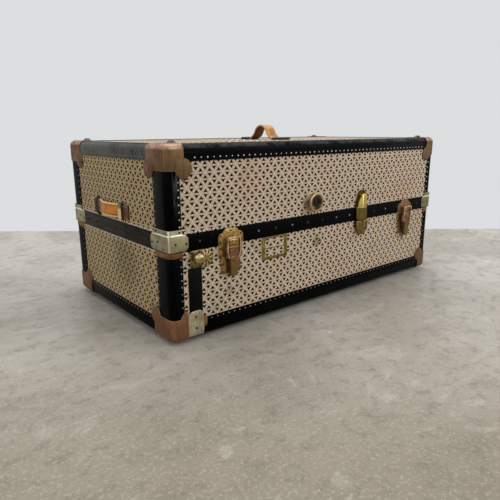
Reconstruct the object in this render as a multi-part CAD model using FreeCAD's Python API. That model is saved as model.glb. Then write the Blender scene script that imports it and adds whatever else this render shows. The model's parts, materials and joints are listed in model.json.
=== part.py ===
import FreeCAD, Part
import math
import os

# Wardrobe trunk, closed and lying on its back: a lower half with four drawers and an open
# compartment, and an upper half with a pull-out hanging rail, hinged to it along the back.
# Lengths are in millimetres. Depth means how far a layer lies inside the outer face of the
# bindings, and out means how far something stands off the covering.

# Overall sizes, over the bindings
trunk_length = 1040.0
trunk_depth = 561.0
trunk_height = 451.0
parting_height = 214.0
edge_radius = 18.0

# Layers of the wall, from outside to inside
binding_thickness = 1.6
cover_thickness = 0.8
panel_thickness = 6.0
panel_chamfer = 9.4
lining_thickness = 0.8

# General clearances
overrun = 10.0
running_gap = 0.4
flat_gap = 0.3

# Fibre bindings, and the band that covers the joint
upright_front_width = 34.0
upright_end_width = 60.0
binding_inner_leg = 12.0
lower_level_width = 47.0
upper_level_width = 37.0
flat_binding_width = 40.0
band_height = 40.0
band_proud = 0.4

# Pressed metal corners: a block with a round lobe on the front and on the end
cap_thickness = 1.4
cap_front_width = 46.0
cap_end_width = 84.0
cap_reach = 57.0
cap_lobe_radius = 22.0
cap_front_lobe_along = 44.0
cap_end_lobe_along = 74.0
cap_lobe_down = 52.0
cap_flat_clip = 14.0
cap_edge_radius = 16.0

# Clamps at the corners of the band, and the brown edge pieces under them
clamp_thickness = 1.2
clamp_front_width = 49.5
clamp_end_width = 80.0
clamp_clip = 8.0
clamp_bend = 9.0
clamp_rise = 2.0
clamp_flange_height = 12.0
edge_piece_height = 12.0
edge_piece_proud = 0.8

# Closing rim: a steel tongue round the mouth of the lower half
rim_thickness = 1.5
rim_clearance = 0.3
rim_depth_below = 14.0
rim_height_above = 6.0
rim_lining_gap = 2.0

# Glides
glide_radius = 11.0
glide_flat_radius = 5.5
glide_height = 5.6
glide_inset = 40.0

# Black strap at the left of the front, with its metal foot and a leather backing
strap_left = 47.0
strap_width = 37.0
strap_thickness = 1.4
foot_left = 42.0
foot_width = 43.0
foot_bottom = 6.0
foot_top = 69.0
foot_round = 14.0
foot_thickness = 1.4
backing_width = 9.5
backing_bottom = 25.0
backing_height = 25.0
backing_round = 6.0
backing_thickness = 0.7

# Ball knob on its square plate, with the round rosette beside it
knob_centre_x = 67.5
knob_down = 20.5
knob_plate_width = 29.0
knob_plate_height = 40.6
knob_plate_round = 5.0
knob_plate_thickness = 3.0
ball_radius = 13.0
ball_centre_out = 16.4
ball_rise = 5.5
ball_neck_radius = 6.5
rosette_centre_x = 95.0
rosette_radius = 21.8
rosette_thickness = 1.2
rosette_ring_radius = 15.5
rosette_boss_radius = 9.0
rosette_step = 1.6
rosette_gap = 0.6

# Label frame
label_left = 268.5
label_width = 87.0
label_down = 60.0
label_height = 59.5
label_rim = 8.0
label_side_rim = 10.0
label_top_rim = 4.5
label_thickness = 1.8
label_round = 3.0
label_lip = 2.0
label_slot = 0.8

# Draw-bolt latches: base and lever on the lower half, keeper on the upper half
latch_centres_x = (168.0, 888.0)
plate_thickness = 1.5
base_width_top = 70.0
base_width_low = 60.0
base_step_down = 32.0
base_bottom_down = 72.0
base_round = 6.0
pivot_down = 7.0
pivot_out = 11.0
bail_pin_down = 30.0
bail_pin_out = 7.0
latch_pin_radius = 1.5
pin_clearance = 0.06
ear_thickness = 2.0
ear_radius = 3.0
ear_clip = 1.8
lever_half_width = 14.2
lever_radius = 6.3
lever_front_out = 5.0
lever_top_up = 1.9
lever_bow = 1.2
lever_back_out = 4.4
lever_low_half_width = 9.0
lever_low_round = 6.0
lever_tip_down = 78.0
lever_tip_out = 11.0
lever_tip_radius = 5.0
lever_grooves_down = (13.0, 20.0)
lever_groove_height = 2.4
lever_groove_depth = 0.9
bail_wire = 3.4
bail_gap = 0.5
bail_top_up = 20.0
bail_top_out = 15.8
bail_round = 6.0
bail_arm_out = 17.0
bail_bend_up = 14.0
bail_bend_round = 12.0
keeper_width = 74.0
keeper_shoulder_up = 30.0
keeper_shoulder_round = 12.0
keeper_arch_width = 46.0
keeper_top_up = 39.5
keeper_arch_round = 12.0
lug_width = 24.5
lug_bottom_up = 0.8
lug_top_up = 16.0
lug_out = 15.0
lug_round = 5.0

# Centre lock: hasp and its plate on the upper half, lock body on the lower half
lock_centre_x = 660.0
hasp_width = 42.0
hasp_bottom_up = 2.0
hasp_low_round = 7.5
hasp_seam_up = 39.8
hasp_low_half_width = 24.6
hasp_shoulder_drop = 28.0
hasp_shoulder_round = 60.0
hasp_crown_half_width = 9.0
hasp_crown_round = 12.0
hasp_pivot_up = 74.0
hasp_pivot_out = 8.6
hasp_radius = 6.3
hasp_back_out = 3.4
hasp_lip_out = 13.9
hasp_bulge_radius = 40.0
hasp_wall = 3.0
hasp_pin_radius = 2.0
hasp_side_gap = 0.6
hasp_rim = 3.5
hasp_rim_out = 4.0
hasp_ear_radius = 3.4
hasp_ear_clip = 1.2
hasp_ear_inner = 14.3
hasp_ear_width = 3.0
hasp_plate_bottom_up = 40.4
hasp_plate_top_gap = 5.5
tongue_width = 8.0
tongue_back_out = 5.0
tongue_thickness = 4.0
tongue_drop = 7.0
tongue_gap = 0.8
lock_width = 51.0
lock_drop = 44.0
lock_shoulder_down = 20.0
lock_shoulder_round = 15.0
lock_tip_half_width = 14.0
lock_tip_round = 18.0
lock_thickness = 12.0
lock_bevel = 2.5
keyhole_radius = 2.5
keyhole_depth = 4.0
keyhole_down = 28.0

# Round socket in the upper half, with a lock barrel in its bore
ring_centre_x = 447.0
ring_up = 74.5
ring_flange_radius = 26.5
ring_flange_thickness = 2.0
ring_radius = 23.5
ring_bore_radius = 20.0
ring_length = 21.5
ring_lip_radius = 25.5
ring_lip_length = 5.0
ring_lip_bevel = 1.6
barrel_radius = 12.5
barrel_length = 10.0
barrel_slot_width = 3.0
barrel_slot_length = 15.0
barrel_slot_depth = 5.0

# Hinges along the back
hinge_centres_x = (150.0, 520.0, 890.0)
hinge_width = 72.0
hinge_leaf_height = 34.0
hinge_leaf_thickness = 1.5
knuckle_radius = 4.0
knuckle_clip = 2.3
knuckle_count = 3
web_top_down = 2.0
hinge_pin_radius = 2.0
hinge_pin_clearance = 0.05

# Handle on the left end, free to lift in its two loops
end_handle_place_share = 0.53
end_handle_up = 69.0
end_strap_width = 36.0
end_strap_thickness = 4.0
end_strap_half_span = 58.0
end_strap_rise = 12.0
end_strap_foot = 51.0
end_strap_bend = 24.0
end_loop_offset = 75.0
end_loop_width = 18.0
end_loop_height = 54.0
end_loop_out = 11.0
end_loop_wall = 2.0
end_loop_foot = 7.0
end_loop_round = 2.5

# Handle on the top
top_strap_width = 36.0
top_strap_thickness = 5.0
top_strap_half_span = 63.0
top_strap_rise = 40.0
top_strap_foot = 29.0
top_strap_bend = 40.0
top_plate_length = 37.0
top_plate_width = 42.0
top_plate_height = 8.0
top_plate_wall = 1.6
top_plate_round = 2.5

# Drawers, from the open compartment at the left to the right end
compartment_length = 200.0
drawer_lengths = (150.0, 170.0, 200.0)
divider_thickness = 8.0
drawer_side_clearance = 2.1
drawer_gap = 1.0
drawer_drop = 8.0
drawer_wall = 5.0
drawer_front = 9.0
pull_width = 18.0
pull_thickness = 3.0
pull_half_span = 34.0
pull_rise = 13.0
pull_foot = 14.0
pull_bend = 14.0

# Hanging rail in its track, with the hangers
track_width = 26.0
track_depth = 9.0
track_wall = 2.0
track_slot = 9.0
track_bottom_up = 14.0
track_top_gap = 20.0
rail_head_width = 20.0
rail_head_depth = 3.0
rail_web = 5.0
rail_web_depth = 22.0
rail_foot_width = 14.0
rail_foot_depth = 4.0
rail_end_gap = 2.0
rail_fit = 0.5
hanger_count = 3
hanger_first_share = 0.2
hanger_pitch_share = 0.235
hanger_thickness = 12.0
hanger_half_span = 215.0
hanger_bar = 26.0
hanger_slope = 62.0
hanger_shoulder = 70.0
hanger_shoulder_drop = 12.0
hanger_neck = 21.0
hook_thickness = 2.4
hook_width = 24.0
hook_wall = 3.0
hook_into_wood = 8.0

# Derived places
cover_depth = binding_thickness
panel_depth = cover_depth + cover_thickness
lining_depth = panel_depth + panel_thickness
inside_depth = lining_depth + lining_thickness
rim_depth = lining_depth + rim_thickness
band_out = cover_depth + band_proud
ear_inner = lever_half_width + running_gap
ear_outer = ear_inner + ear_thickness
knob_centre_z = parting_height - knob_down
label_bottom = parting_height - label_down
ring_centre_z = parting_height + ring_up
end_handle_centre_y = end_handle_place_share * trunk_depth
end_handle_centre_z = parting_height + end_handle_up
half_length = trunk_length / 2
half_depth = trunk_depth / 2
front_face = -half_depth + cover_depth
left_face = -half_length + cover_depth
back_face = half_depth - cover_depth
top_face = trunk_height - cover_depth
hinge_out = band_out + knuckle_radius + running_gap
touching_clip_share = 2 - math.sqrt(2)
tiny = 1e-3


def vector(x, y, z):
    return FreeCAD.Vector(x, y, z)


def box(x0, x1, y0, y1, z0, z1):
    return Part.makeBox(x1 - x0, y1 - y0, z1 - z0, vector(x0, y0, z0))


def slab(z0, z1):
    reach_x = half_length + overrun
    reach_y = half_depth + overrun
    return box(-reach_x, reach_x, -reach_y, reach_y, z0, z1)


def mirrored_x(shape):
    return shape.mirror(vector(0, 0, 0), vector(1, 0, 0))


def mirrored_y(shape):
    return shape.mirror(vector(0, 0, 0), vector(0, 1, 0))


def upside_down(shape):
    return shape.mirror(vector(0, 0, trunk_height / 2), vector(0, 0, 1))


def front_and_back(shape):
    return [shape, mirrored_y(shape)]


def left_and_right(shape):
    return [shape, mirrored_x(shape)]


def four_corners(shape):
    return front_and_back(shape) + front_and_back(mirrored_x(shape))


def group(shapes):
    return Part.makeCompound(shapes)


def fused(shapes):
    result = shapes[0]
    for shape in shapes[1:]:
        result = result.fuse(shape)
    return result.removeSplitter()


def rounded_wire(points, to_vector):
    # Each point is (a, b, radius). Straight runs are joined by tangent arcs.
    spans = []
    count = len(points)
    for i, (a, b, radius) in enumerate(points):
        here = vector(a, b, 0)
        before = vector(points[i - 1][0], points[i - 1][1], 0) - here
        after = vector(points[(i + 1) % count][0], points[(i + 1) % count][1], 0) - here
        before.normalize()
        after.normalize()
        if radius <= 0:
            spans.append((here, None, here))
            continue
        half_angle = before.getAngle(after) / 2
        tangent = radius / math.tan(half_angle)
        middle_way = before + after
        middle_way.normalize()
        middle = here + middle_way * (radius / math.sin(half_angle) - radius)
        spans.append((here + before * tangent, middle, here + after * tangent))
    edges = []
    for i, (start, middle, end) in enumerate(spans):
        if middle is not None:
            edges.append(Part.Arc(to_vector(start), to_vector(middle), to_vector(end)).toShape())
        next_start = spans[(i + 1) % count][0]
        if (next_start - end).Length > tiny:
            edges.append(Part.LineSegment(to_vector(end), to_vector(next_start)).toShape())
    return Part.Wire(edges)


def rectangle(a0, a1, b0, b1, radius=0.0):
    return [(a0, b0, radius), (a1, b0, radius), (a1, b1, radius), (a0, b1, radius)]


def clipped_rectangle(a0, a1, b0, b1, clip):
    return [(a0 + clip, b0, 0), (a1 - clip, b0, 0), (a1, b0 + clip, 0), (a1, b1 - clip, 0),
            (a1 - clip, b1, 0), (a0 + clip, b1, 0), (a0, b1 - clip, 0), (a0, b0 + clip, 0)]


def plate(points, out_start, out_end):
    # An outline in (across, up), given its thickness outwards, along -Y.
    wire = rounded_wire(points, lambda p: vector(p.x, -out_start, p.y))
    return Part.Face(wire).extrude(vector(0, out_start - out_end, 0))


def section_along_x(points, x0, x1):
    # A section in (out, up), drawn outwards along -Y, and given its length along X.
    wire = rounded_wire(points, lambda p: vector(x0, -p.x, p.y))
    return Part.Face(wire).extrude(vector(x1 - x0, 0, 0))


def turned(points, across, up):
    # A section in (radius, out), turned round an axis that points outwards.
    wire = rounded_wire(points, lambda p: vector(across + p.x, -p.y, up))
    return Part.Face(wire).revolve(vector(across, 0, up), vector(0, 1, 0), 360)


def rod_x(radius, x0, x1, out, up):
    return Part.makeCylinder(radius, x1 - x0, vector(x0, -out, up), vector(1, 0, 0))


def rod_out(radius, across, up, out_start, out_end):
    start = vector(across, -out_start, up)
    return Part.makeCylinder(radius, out_end - out_start, start, vector(0, -1, 0))


def on_front(shape, x_from_left):
    return shape.translated(vector(x_from_left - half_length, front_face, 0))


def on_left(shape, y_from_front):
    facing_left = shape.rotated(vector(0, 0, 0), vector(0, 0, 1), -90)
    return facing_left.translated(vector(left_face, y_from_front - half_depth, 0))


def on_back(shape, x_from_left):
    facing_back = shape.rotated(vector(0, 0, 0), vector(0, 0, 1), 180)
    return facing_back.translated(vector(x_from_left - half_length, back_face, 0))


def facing_up(shape):
    # From standing out of the front to standing up, lying along Y.
    return shape.rotated(vector(0, 0, 0), vector(1, 0, 0), -90).rotated(
        vector(0, 0, 0), vector(0, 0, 1), 90)


def trunk_block(depth):
    return box(-half_length + depth, half_length - depth,
               -half_depth + depth, half_depth - depth,
               depth, trunk_height - depth)


def cover_sheets(z0, z1, flat_z):
    # Flat sheets of covering on the four walls and on the top or bottom, between the bindings.
    x_end = half_length - edge_radius
    y_end = half_depth - edge_radius
    outer = half_depth - cover_depth
    front = box(-x_end, x_end, -outer, -outer + cover_thickness, z0, z1)
    outer = half_length - cover_depth
    left = box(-outer, -outer + cover_thickness, -y_end, y_end, z0, z1)
    flat = box(-x_end, x_end, -y_end, y_end, flat_z, flat_z + cover_thickness)
    return group(front_and_back(front) + left_and_right(left) + [flat])


def shell_panels(z0, z1):
    # The plywood panels of one half: long walls, end walls between them, and the flat one.
    whole = trunk_block(panel_depth)
    whole = whole.makeChamfer(panel_chamfer, whole.Edges).common(slab(z0, z1))
    inner_x = half_length - lining_depth
    inner_y = half_depth - lining_depth
    top = trunk_height + overrun
    long_wall = box(-half_length, half_length, -half_depth, -inner_y, -overrun, top)
    end_wall = box(-half_length, -inner_x, -inner_y, inner_y, -overrun, top)
    flat_wall = box(-inner_x, inner_x, -inner_y, inner_y, -overrun, top)
    walls = front_and_back(long_wall) + left_and_right(end_wall) + [flat_wall]
    inside = trunk_block(lining_depth)
    return group([whole.common(wall).cut(inside) for wall in walls])


def make_panels():
    lining = trunk_block(lining_depth).cut(trunk_block(inside_depth))
    lining_start = parting_height + rim_height_above + rim_lining_gap
    above = trunk_height + overrun
    return {
        "lower_shell": shell_panels(-overrun, parting_height),
        "upper_shell": shell_panels(parting_height, above),
        "lower_cover": cover_sheets(edge_radius, parting_height, cover_depth),
        "upper_cover": cover_sheets(parting_height, trunk_height - edge_radius,
                                    trunk_height - panel_depth),
        "lower_lining": lining.common(slab(-overrun, parting_height - rim_depth_below)),
        "upper_lining": lining.common(slab(lining_start, above)),
    }


def sheet_section(proud, thickness, first, second, bend):
    # An L of bent sheet round one edge of the trunk: its legs reach first and second.
    outer = -proud
    inner = thickness - proud
    return [(outer, outer, bend), (first, outer, 0), (first, inner, 0),
            (inner, inner, edge_radius - inner), (inner, second, 0), (outer, second, 0)]


def angle_section(proud, first, second):
    # The same L in thick fibre or leather, filled behind its bend.
    outer = -proud
    inner = cover_depth
    leg = binding_inner_leg
    return [(outer, outer, edge_radius + proud), (first, outer, 0), (first, inner, 0),
            (leg, inner, 0), (inner, leg, 0), (inner, second, 0), (outer, second, 0)]


def angle_upright(section, z0, z1):
    wire = rounded_wire(section, lambda p: vector(p.x - half_length, p.y - half_depth, z0))
    return Part.Face(wire).extrude(vector(0, 0, z1 - z0))


def angle_along_x(section, x0, x1):
    wire = rounded_wire(section, lambda p: vector(x0, p.x - half_depth, p.y))
    return Part.Face(wire).extrude(vector(x1 - x0, 0, 0))


def angle_along_y(section, y0, y1):
    wire = rounded_wire(section, lambda p: vector(p.x - half_length, y0, p.y))
    return Part.Face(wire).extrude(vector(0, y1 - y0, 0))


def level_bindings(wall_width):
    section = angle_section(0, flat_binding_width, wall_width)
    x_end = half_length - edge_radius
    y_end = half_depth - flat_binding_width
    long_sides = front_and_back(angle_along_x(section, -x_end, x_end))
    return long_sides + left_and_right(angle_along_y(section, -y_end, y_end))


def make_bindings():
    section = angle_section(0, upright_front_width, upright_end_width)
    lower_upright = angle_upright(section, lower_level_width, parting_height - edge_piece_height)
    upper_upright = angle_upright(section, parting_height + band_height,
                                  trunk_height - upper_level_width)
    upper_level = [upside_down(strip) for strip in level_bindings(upper_level_width)]
    return {"lower_bindings": group(four_corners(lower_upright) + level_bindings(lower_level_width)),
            "upper_bindings": group(four_corners(upper_upright) + upper_level)}


def corner_block(depth, reach):
    # One corner of the trunk, and the three edges that meet in it.
    block = box(depth, reach, depth, reach, depth, reach)
    edges = []
    for edge in block.Edges:
        ends = (edge.BoundBox.XMax, edge.BoundBox.YMax, edge.BoundBox.ZMax)
        if sum(abs(end - depth) < tiny for end in ends) == 2:
            edges.append(edge)
    return block, edges


def cap_flap(width, lobe_along):
    # A flap on the front, as a thick outline that the curved skin is cut with.
    block = plate(rectangle(-overrun, width, -overrun, cap_reach), -edge_radius, overrun)
    lobe = rod_out(cap_lobe_radius, lobe_along, cap_lobe_down, -edge_radius, overrun)
    return block.fuse(lobe)


def make_corner_caps():
    reach = cap_end_width + cap_lobe_radius + overrun
    outside, outer_edges = corner_block(-cap_thickness, reach)
    inside, inner_edges = corner_block(0, reach)
    # The inside is clipped where it touches the rounding of the bindings.
    inside = inside.makeChamfer(edge_radius * touching_clip_share, inner_edges)
    skin = outside.makeFillet(cap_edge_radius, outer_edges).cut(inside)
    front = cap_flap(cap_front_width, cap_front_lobe_along)
    end = cap_flap(cap_end_width, cap_end_lobe_along).mirror(vector(0, 0, 0), vector(1, -1, 0))
    flat = box(-overrun, cap_front_width, -overrun, cap_end_width, -overrun, edge_radius)
    inner_edge = [edge for edge in flat.Edges
                  if abs(edge.BoundBox.XMin - cap_front_width) < tiny
                  and abs(edge.BoundBox.YMin - cap_end_width) < tiny]
    flat = flat.makeChamfer(cap_flat_clip, inner_edge)
    cap = skin.common(front.fuse(end).fuse(flat))
    cap.translate(vector(-half_length, -half_depth, 0))
    strap_room = box(-half_length + foot_left - flat_gap, -half_length + reach,
                     -half_depth - overrun, -half_depth + edge_radius,
                     foot_bottom - flat_gap, reach)
    lower = four_corners(cap)
    upper = [upside_down(corner) for corner in lower]
    lower[0] = cap.cut(strap_room)
    return {"lower_corner_caps": group(lower), "upper_corner_caps": group(upper)}


def clamp_outline(width, flange_width):
    # The outline of one leg of a clamp: a clipped end, and a narrower flange above it.
    low = parting_height + clamp_rise
    top = parting_height + band_height
    clip = clamp_clip
    return [(-overrun, low, 0), (width - clip, low, 0), (width, low + clip, 0),
            (width, top - clip, 0), (width - clip, top, 0), (flange_width, top, 0),
            (flange_width, top + clamp_flange_height, 0), (-overrun, top + clamp_flange_height, 0)]


def make_band():
    def block(a, b, radius):
        wire = rounded_wire(rectangle(-a, a, -b, b, radius),
                            lambda p: vector(p.x, p.y, parting_height))
        return Part.Face(wire).extrude(vector(0, 0, band_height))

    outer = block(half_length + band_proud, half_depth + band_proud, edge_radius + band_proud)
    inner = block(half_length - cover_depth, half_depth - cover_depth, 0)
    upright = [edge for edge in inner.Edges if edge.BoundBox.ZLength > tiny]
    band = outer.cut(inner.makeChamfer(binding_inner_leg - cover_depth, upright))
    low = parting_height + clamp_rise
    high = parting_height + band_height + clamp_flange_height
    section = sheet_section(band_proud + clamp_thickness, clamp_thickness,
                            clamp_front_width, clamp_end_width, clamp_bend)
    front_leg = plate(clamp_outline(clamp_front_width, upright_front_width), -edge_radius, overrun)
    end_leg = plate(clamp_outline(clamp_end_width, upright_end_width), -edge_radius, overrun)
    end_leg = end_leg.mirror(vector(0, 0, 0), vector(1, -1, 0))
    legs = front_leg.fuse(end_leg).translated(vector(-half_length, -half_depth, 0))
    clamp = angle_upright(section, low, high).common(legs)
    return {"valance_band": band, "valance_corner_clamps": group(four_corners(clamp))}


def make_rim():
    inside = trunk_block(rim_depth)
    below = trunk_block(lining_depth).cut(inside)
    below = below.common(slab(parting_height - rim_depth_below, parting_height))
    above = trunk_block(lining_depth + rim_clearance).cut(inside)
    above = above.common(slab(parting_height, parting_height + rim_height_above))
    section = angle_section(edge_piece_proud, upright_front_width, upright_end_width)
    edge_piece = angle_upright(section, parting_height - edge_piece_height, parting_height)
    return {"lower_rim": fused([below, above]), "lower_edge_corners": group(four_corners(edge_piece))}


def make_glides():
    dome = Part.makeCone(glide_radius, glide_flat_radius, glide_height, vector(0, 0, 0),
                         vector(0, 0, -1))
    place = vector(-half_length + glide_inset, -half_depth + glide_inset, -cap_thickness)
    bottom = four_corners(dome.translated(place))
    return {"bottom_glides": group(bottom),
            "top_glides": group([upside_down(glide) for glide in bottom])}


def make_strap():
    knob_plate_low = knob_centre_z - knob_plate_height / 2
    strap = plate(rectangle(strap_left, strap_left + strap_width, lower_level_width, knob_plate_low),
                  0, strap_thickness)
    section = sheet_section(foot_thickness, foot_thickness, edge_radius, foot_top,
                            edge_radius + foot_thickness)
    angle = angle_along_x(section, foot_left - half_length, foot_left + foot_width - half_length)
    shape = [(foot_left, foot_bottom, 0), (foot_left + foot_width, foot_bottom, 0),
             (foot_left + foot_width, foot_top, foot_round), (foot_left, foot_top, foot_round)]
    foot = angle.common(on_front(plate(shape, -edge_radius, overrun), 0))
    right = foot_left + foot_width + flat_gap
    backing_top = backing_bottom + backing_height
    shape = [(right, backing_bottom, 0), (right + backing_width, backing_bottom, backing_round),
             (right + backing_width, backing_top, backing_round), (right, backing_top, 0)]
    backing = plate(shape, binding_thickness, binding_thickness + backing_thickness)
    return {"corner_strap": on_front(strap, 0),
            "strap_foot_plate": foot,
            "strap_foot_backing": on_front(backing, 0)}


def make_knob():
    left = knob_centre_x - knob_plate_width / 2
    right = knob_centre_x + knob_plate_width / 2
    low = knob_centre_z - knob_plate_height / 2
    high = knob_centre_z + knob_plate_height / 2
    square = plate(rectangle(left, right, low, high, knob_plate_round), 0, knob_plate_thickness)
    ball_z = knob_centre_z + ball_rise
    ball = Part.makeSphere(ball_radius, vector(knob_centre_x, -ball_centre_out, ball_z))
    neck = rod_out(ball_neck_radius, knob_centre_x, ball_z, knob_plate_thickness, ball_centre_out)
    rosette_centre_z = parting_height - rosette_radius - rosette_gap
    ring_out = rosette_thickness + rosette_step
    boss_out = ring_out + rosette_step
    profile = [(0, 0, 0), (rosette_radius, 0, 0), (rosette_radius, rosette_thickness, 0),
               (rosette_ring_radius, rosette_thickness, 0), (rosette_ring_radius, ring_out, 0),
               (rosette_boss_radius, ring_out, 0), (rosette_boss_radius, boss_out, 0),
               (0, boss_out, 0)]
    rosette = turned(profile, rosette_centre_x, rosette_centre_z)
    plate_room = plate(rectangle(0, right + flat_gap, 0, parting_height), -overrun, overrun)
    strap_room = plate(rectangle(0, strap_left + strap_width + flat_gap, 0, low + flat_gap),
                       -overrun, overrun)
    rosette = rosette.cut(plate_room).cut(strap_room)
    return {"knob_plate": on_front(square, 0), "ball_knob": on_front(fused([ball, neck]), 0),
            "round_rosette": on_front(rosette, 0)}


def make_label_frame():
    right = label_left + label_width
    top = label_bottom + label_height
    outer = plate(rectangle(label_left, right, label_bottom, top, label_round), 0, label_thickness)
    window = plate(rectangle(label_left + label_side_rim, right - label_side_rim,
                             label_bottom + label_rim, top - label_top_rim), -overrun, overrun)
    slot_side = label_side_rim - label_lip
    slot = plate(rectangle(label_left + slot_side, right - slot_side,
                           label_bottom + label_rim - label_lip, top - label_lip), 0, label_slot)
    return {"label_frame": on_front(outer.cut(window).cut(slot), 0)}


def latch_base():
    low = parting_height - base_bottom_down
    step = parting_height - base_step_down
    top = parting_height - flat_gap
    half_top = base_width_top / 2
    half_low = base_width_low / 2
    outline = [(-half_low, low, base_round), (half_low, low, base_round), (half_low, step, 0),
               (half_top, step, 0), (half_top, top, 0), (-half_top, top, 0),
               (-half_top, step, 0), (-half_low, step, 0)]
    pivot = parting_height - pivot_down
    profile = clipped_rectangle(0, pivot_out + ear_radius, pivot - ear_radius,
                                pivot + ear_radius, ear_clip)
    ear = section_along_x(profile, ear_inner, ear_outer)
    base = fused([plate(outline, 0, plate_thickness)] + left_and_right(ear))
    return base.cut(latch_pin())


def latch_pin():
    pivot = parting_height - pivot_down
    return rod_x(latch_pin_radius, -ear_outer, ear_outer, pivot_out, pivot)


def lever_side_view():
    # A bowed front that runs to a rounded tip, and a straight back that clears the base.
    pivot = parting_height - pivot_down
    tip = parting_height - lever_tip_down
    front = pivot_out + lever_front_out
    belly = (pivot + tip) / 2
    top_front = vector(0, -front, pivot + lever_top_up)
    bow = vector(0, -(front + lever_bow), belly)
    tip_front = vector(0, -(lever_tip_out + lever_tip_radius), tip + lever_tip_radius)
    tip_end = vector(0, -lever_tip_out, tip)
    tip_back = vector(0, -(lever_tip_out - lever_tip_radius), tip + lever_tip_radius)
    back = vector(0, -lever_back_out, belly)
    hub = lever_radius * math.sqrt(2) / 2
    hub_back = vector(0, -(pivot_out - lever_radius), pivot)
    hub_middle = vector(0, -(pivot_out - hub), pivot + hub)
    hub_top = vector(0, -pivot_out, pivot + lever_radius)
    edges = [Part.Arc(top_front, bow, tip_front).toShape(),
             Part.Arc(tip_front, tip_end, tip_back).toShape(),
             Part.LineSegment(tip_back, back).toShape(),
             Part.LineSegment(back, hub_back).toShape(),
             Part.Arc(hub_back, hub_middle, hub_top).toShape(),
             Part.LineSegment(hub_top, top_front).toShape()]
    side = Part.Face(Part.Wire(edges)).extrude(vector(2 * lever_half_width, 0, 0))
    return side.translated(vector(-lever_half_width, 0, 0))


def latch_lever():
    pivot = parting_height - pivot_down
    tip = parting_height - lever_tip_down
    bail_pin = parting_height - bail_pin_down
    front = pivot_out + lever_front_out
    half = lever_half_width
    low_half = lever_low_half_width
    top = pivot + lever_radius
    outline = [(-low_half, tip, lever_low_round), (low_half, tip, lever_low_round),
               (half, top, 0), (-half, top, 0)]
    body = lever_side_view().common(plate(outline, 0, front + overrun))
    groove_floor = front - lever_groove_depth
    for down in lever_grooves_down:
        low = pivot - down
        body = body.cut(box(-half, half, -(front + overrun), -groove_floor,
                            low, low + lever_groove_height))
    bore_radius = latch_pin_radius + pin_clearance
    body = body.cut(rod_x(bore_radius, -half, half, pivot_out, pivot))
    return body.cut(rod_x(bore_radius, -half, half, bail_pin_out, bail_pin))


def latch_bail():
    # A loop whose arms pass outside the ears and close on a rod through the lever.
    pin_up = parting_height - bail_pin_down
    top = parting_height + bail_top_up
    inner = ear_outer + bail_gap
    outer = inner + bail_wire
    half_wire = bail_wire / 2
    low = pin_up - half_wire
    bend = pin_up + bail_bend_up
    taper_share = (bail_pin_down - pivot_down) / (lever_tip_down - pivot_down)
    low_inner = lever_half_width - (lever_half_width - lever_low_half_width) * taper_share + bail_gap
    low_outer = low_inner + bail_wire
    shape = [(-low_outer, low, 0), (-outer, bend, bail_bend_round), (-outer, top, bail_round),
             (outer, top, bail_round), (outer, bend, bail_bend_round), (low_outer, low, 0),
             (low_inner, low, 0), (inner, bend, bail_bend_round),
             (inner, top - bail_wire, bail_round - half_wire),
             (-inner, top - bail_wire, bail_round - half_wire),
             (-inner, bend, bail_bend_round), (-low_inner, low, 0)]
    side = section_along_x([(bail_pin_out - half_wire, low, 0), (bail_arm_out, low, half_wire),
                            (bail_top_out + half_wire, top, 0), (bail_top_out - half_wire, top, 0)],
                           -outer, outer)
    loop = plate(shape, 0, bail_arm_out + bail_wire).common(side)
    through = rod_x(latch_pin_radius, half_wire - low_outer, low_outer - half_wire, bail_pin_out, pin_up)
    return fused([loop, through])


def latch_keeper():
    half = keeper_width / 2
    arch = keeper_arch_width / 2
    low = parting_height + flat_gap
    shoulder = parting_height + keeper_shoulder_up
    top = parting_height + keeper_top_up
    outline = [(-half, low, 0), (half, low, 0), (half, shoulder, keeper_shoulder_round),
               (arch, shoulder, 0), (arch, top, keeper_arch_round), (-arch, top, keeper_arch_round),
               (-arch, shoulder, 0), (-half, shoulder, keeper_shoulder_round)]
    sheet = plate(outline, band_out, band_out + plate_thickness)
    lug_low = parting_height + lug_bottom_up
    lug_high = parting_height + lug_top_up
    lug = section_along_x([(band_out, lug_low, 0), (lug_out, lug_low, 0),
                           (lug_out, lug_high, lug_round), (band_out, lug_high, 0)],
                          -lug_width / 2, lug_width / 2)
    return fused([sheet, lug])


def make_latches():
    nodes = {}
    for side, x in zip(("left", "right"), latch_centres_x):
        nodes["latch_" + side + "_base"] = on_front(latch_base(), x)
        nodes["latch_" + side + "_lever"] = on_front(latch_lever(), x)
        nodes["latch_" + side + "_bail"] = on_front(latch_bail(), x)
        nodes["latch_" + side + "_keeper"] = on_front(latch_keeper(), x)
    nodes["latch_pivot_pins"] = group([on_front(latch_pin(), x) for x in latch_centres_x])
    return nodes


def hasp_crown(half, top, growth):
    # The pointed arch at the top of the hasp, from its right side to its left side.
    shoulder = top - hasp_shoulder_drop
    crown = hasp_crown_half_width + growth
    return [(half, shoulder, hasp_shoulder_round), (crown, top, hasp_crown_round),
            (-crown, top, hasp_crown_round), (-half, shoulder, hasp_shoulder_round)]


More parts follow.
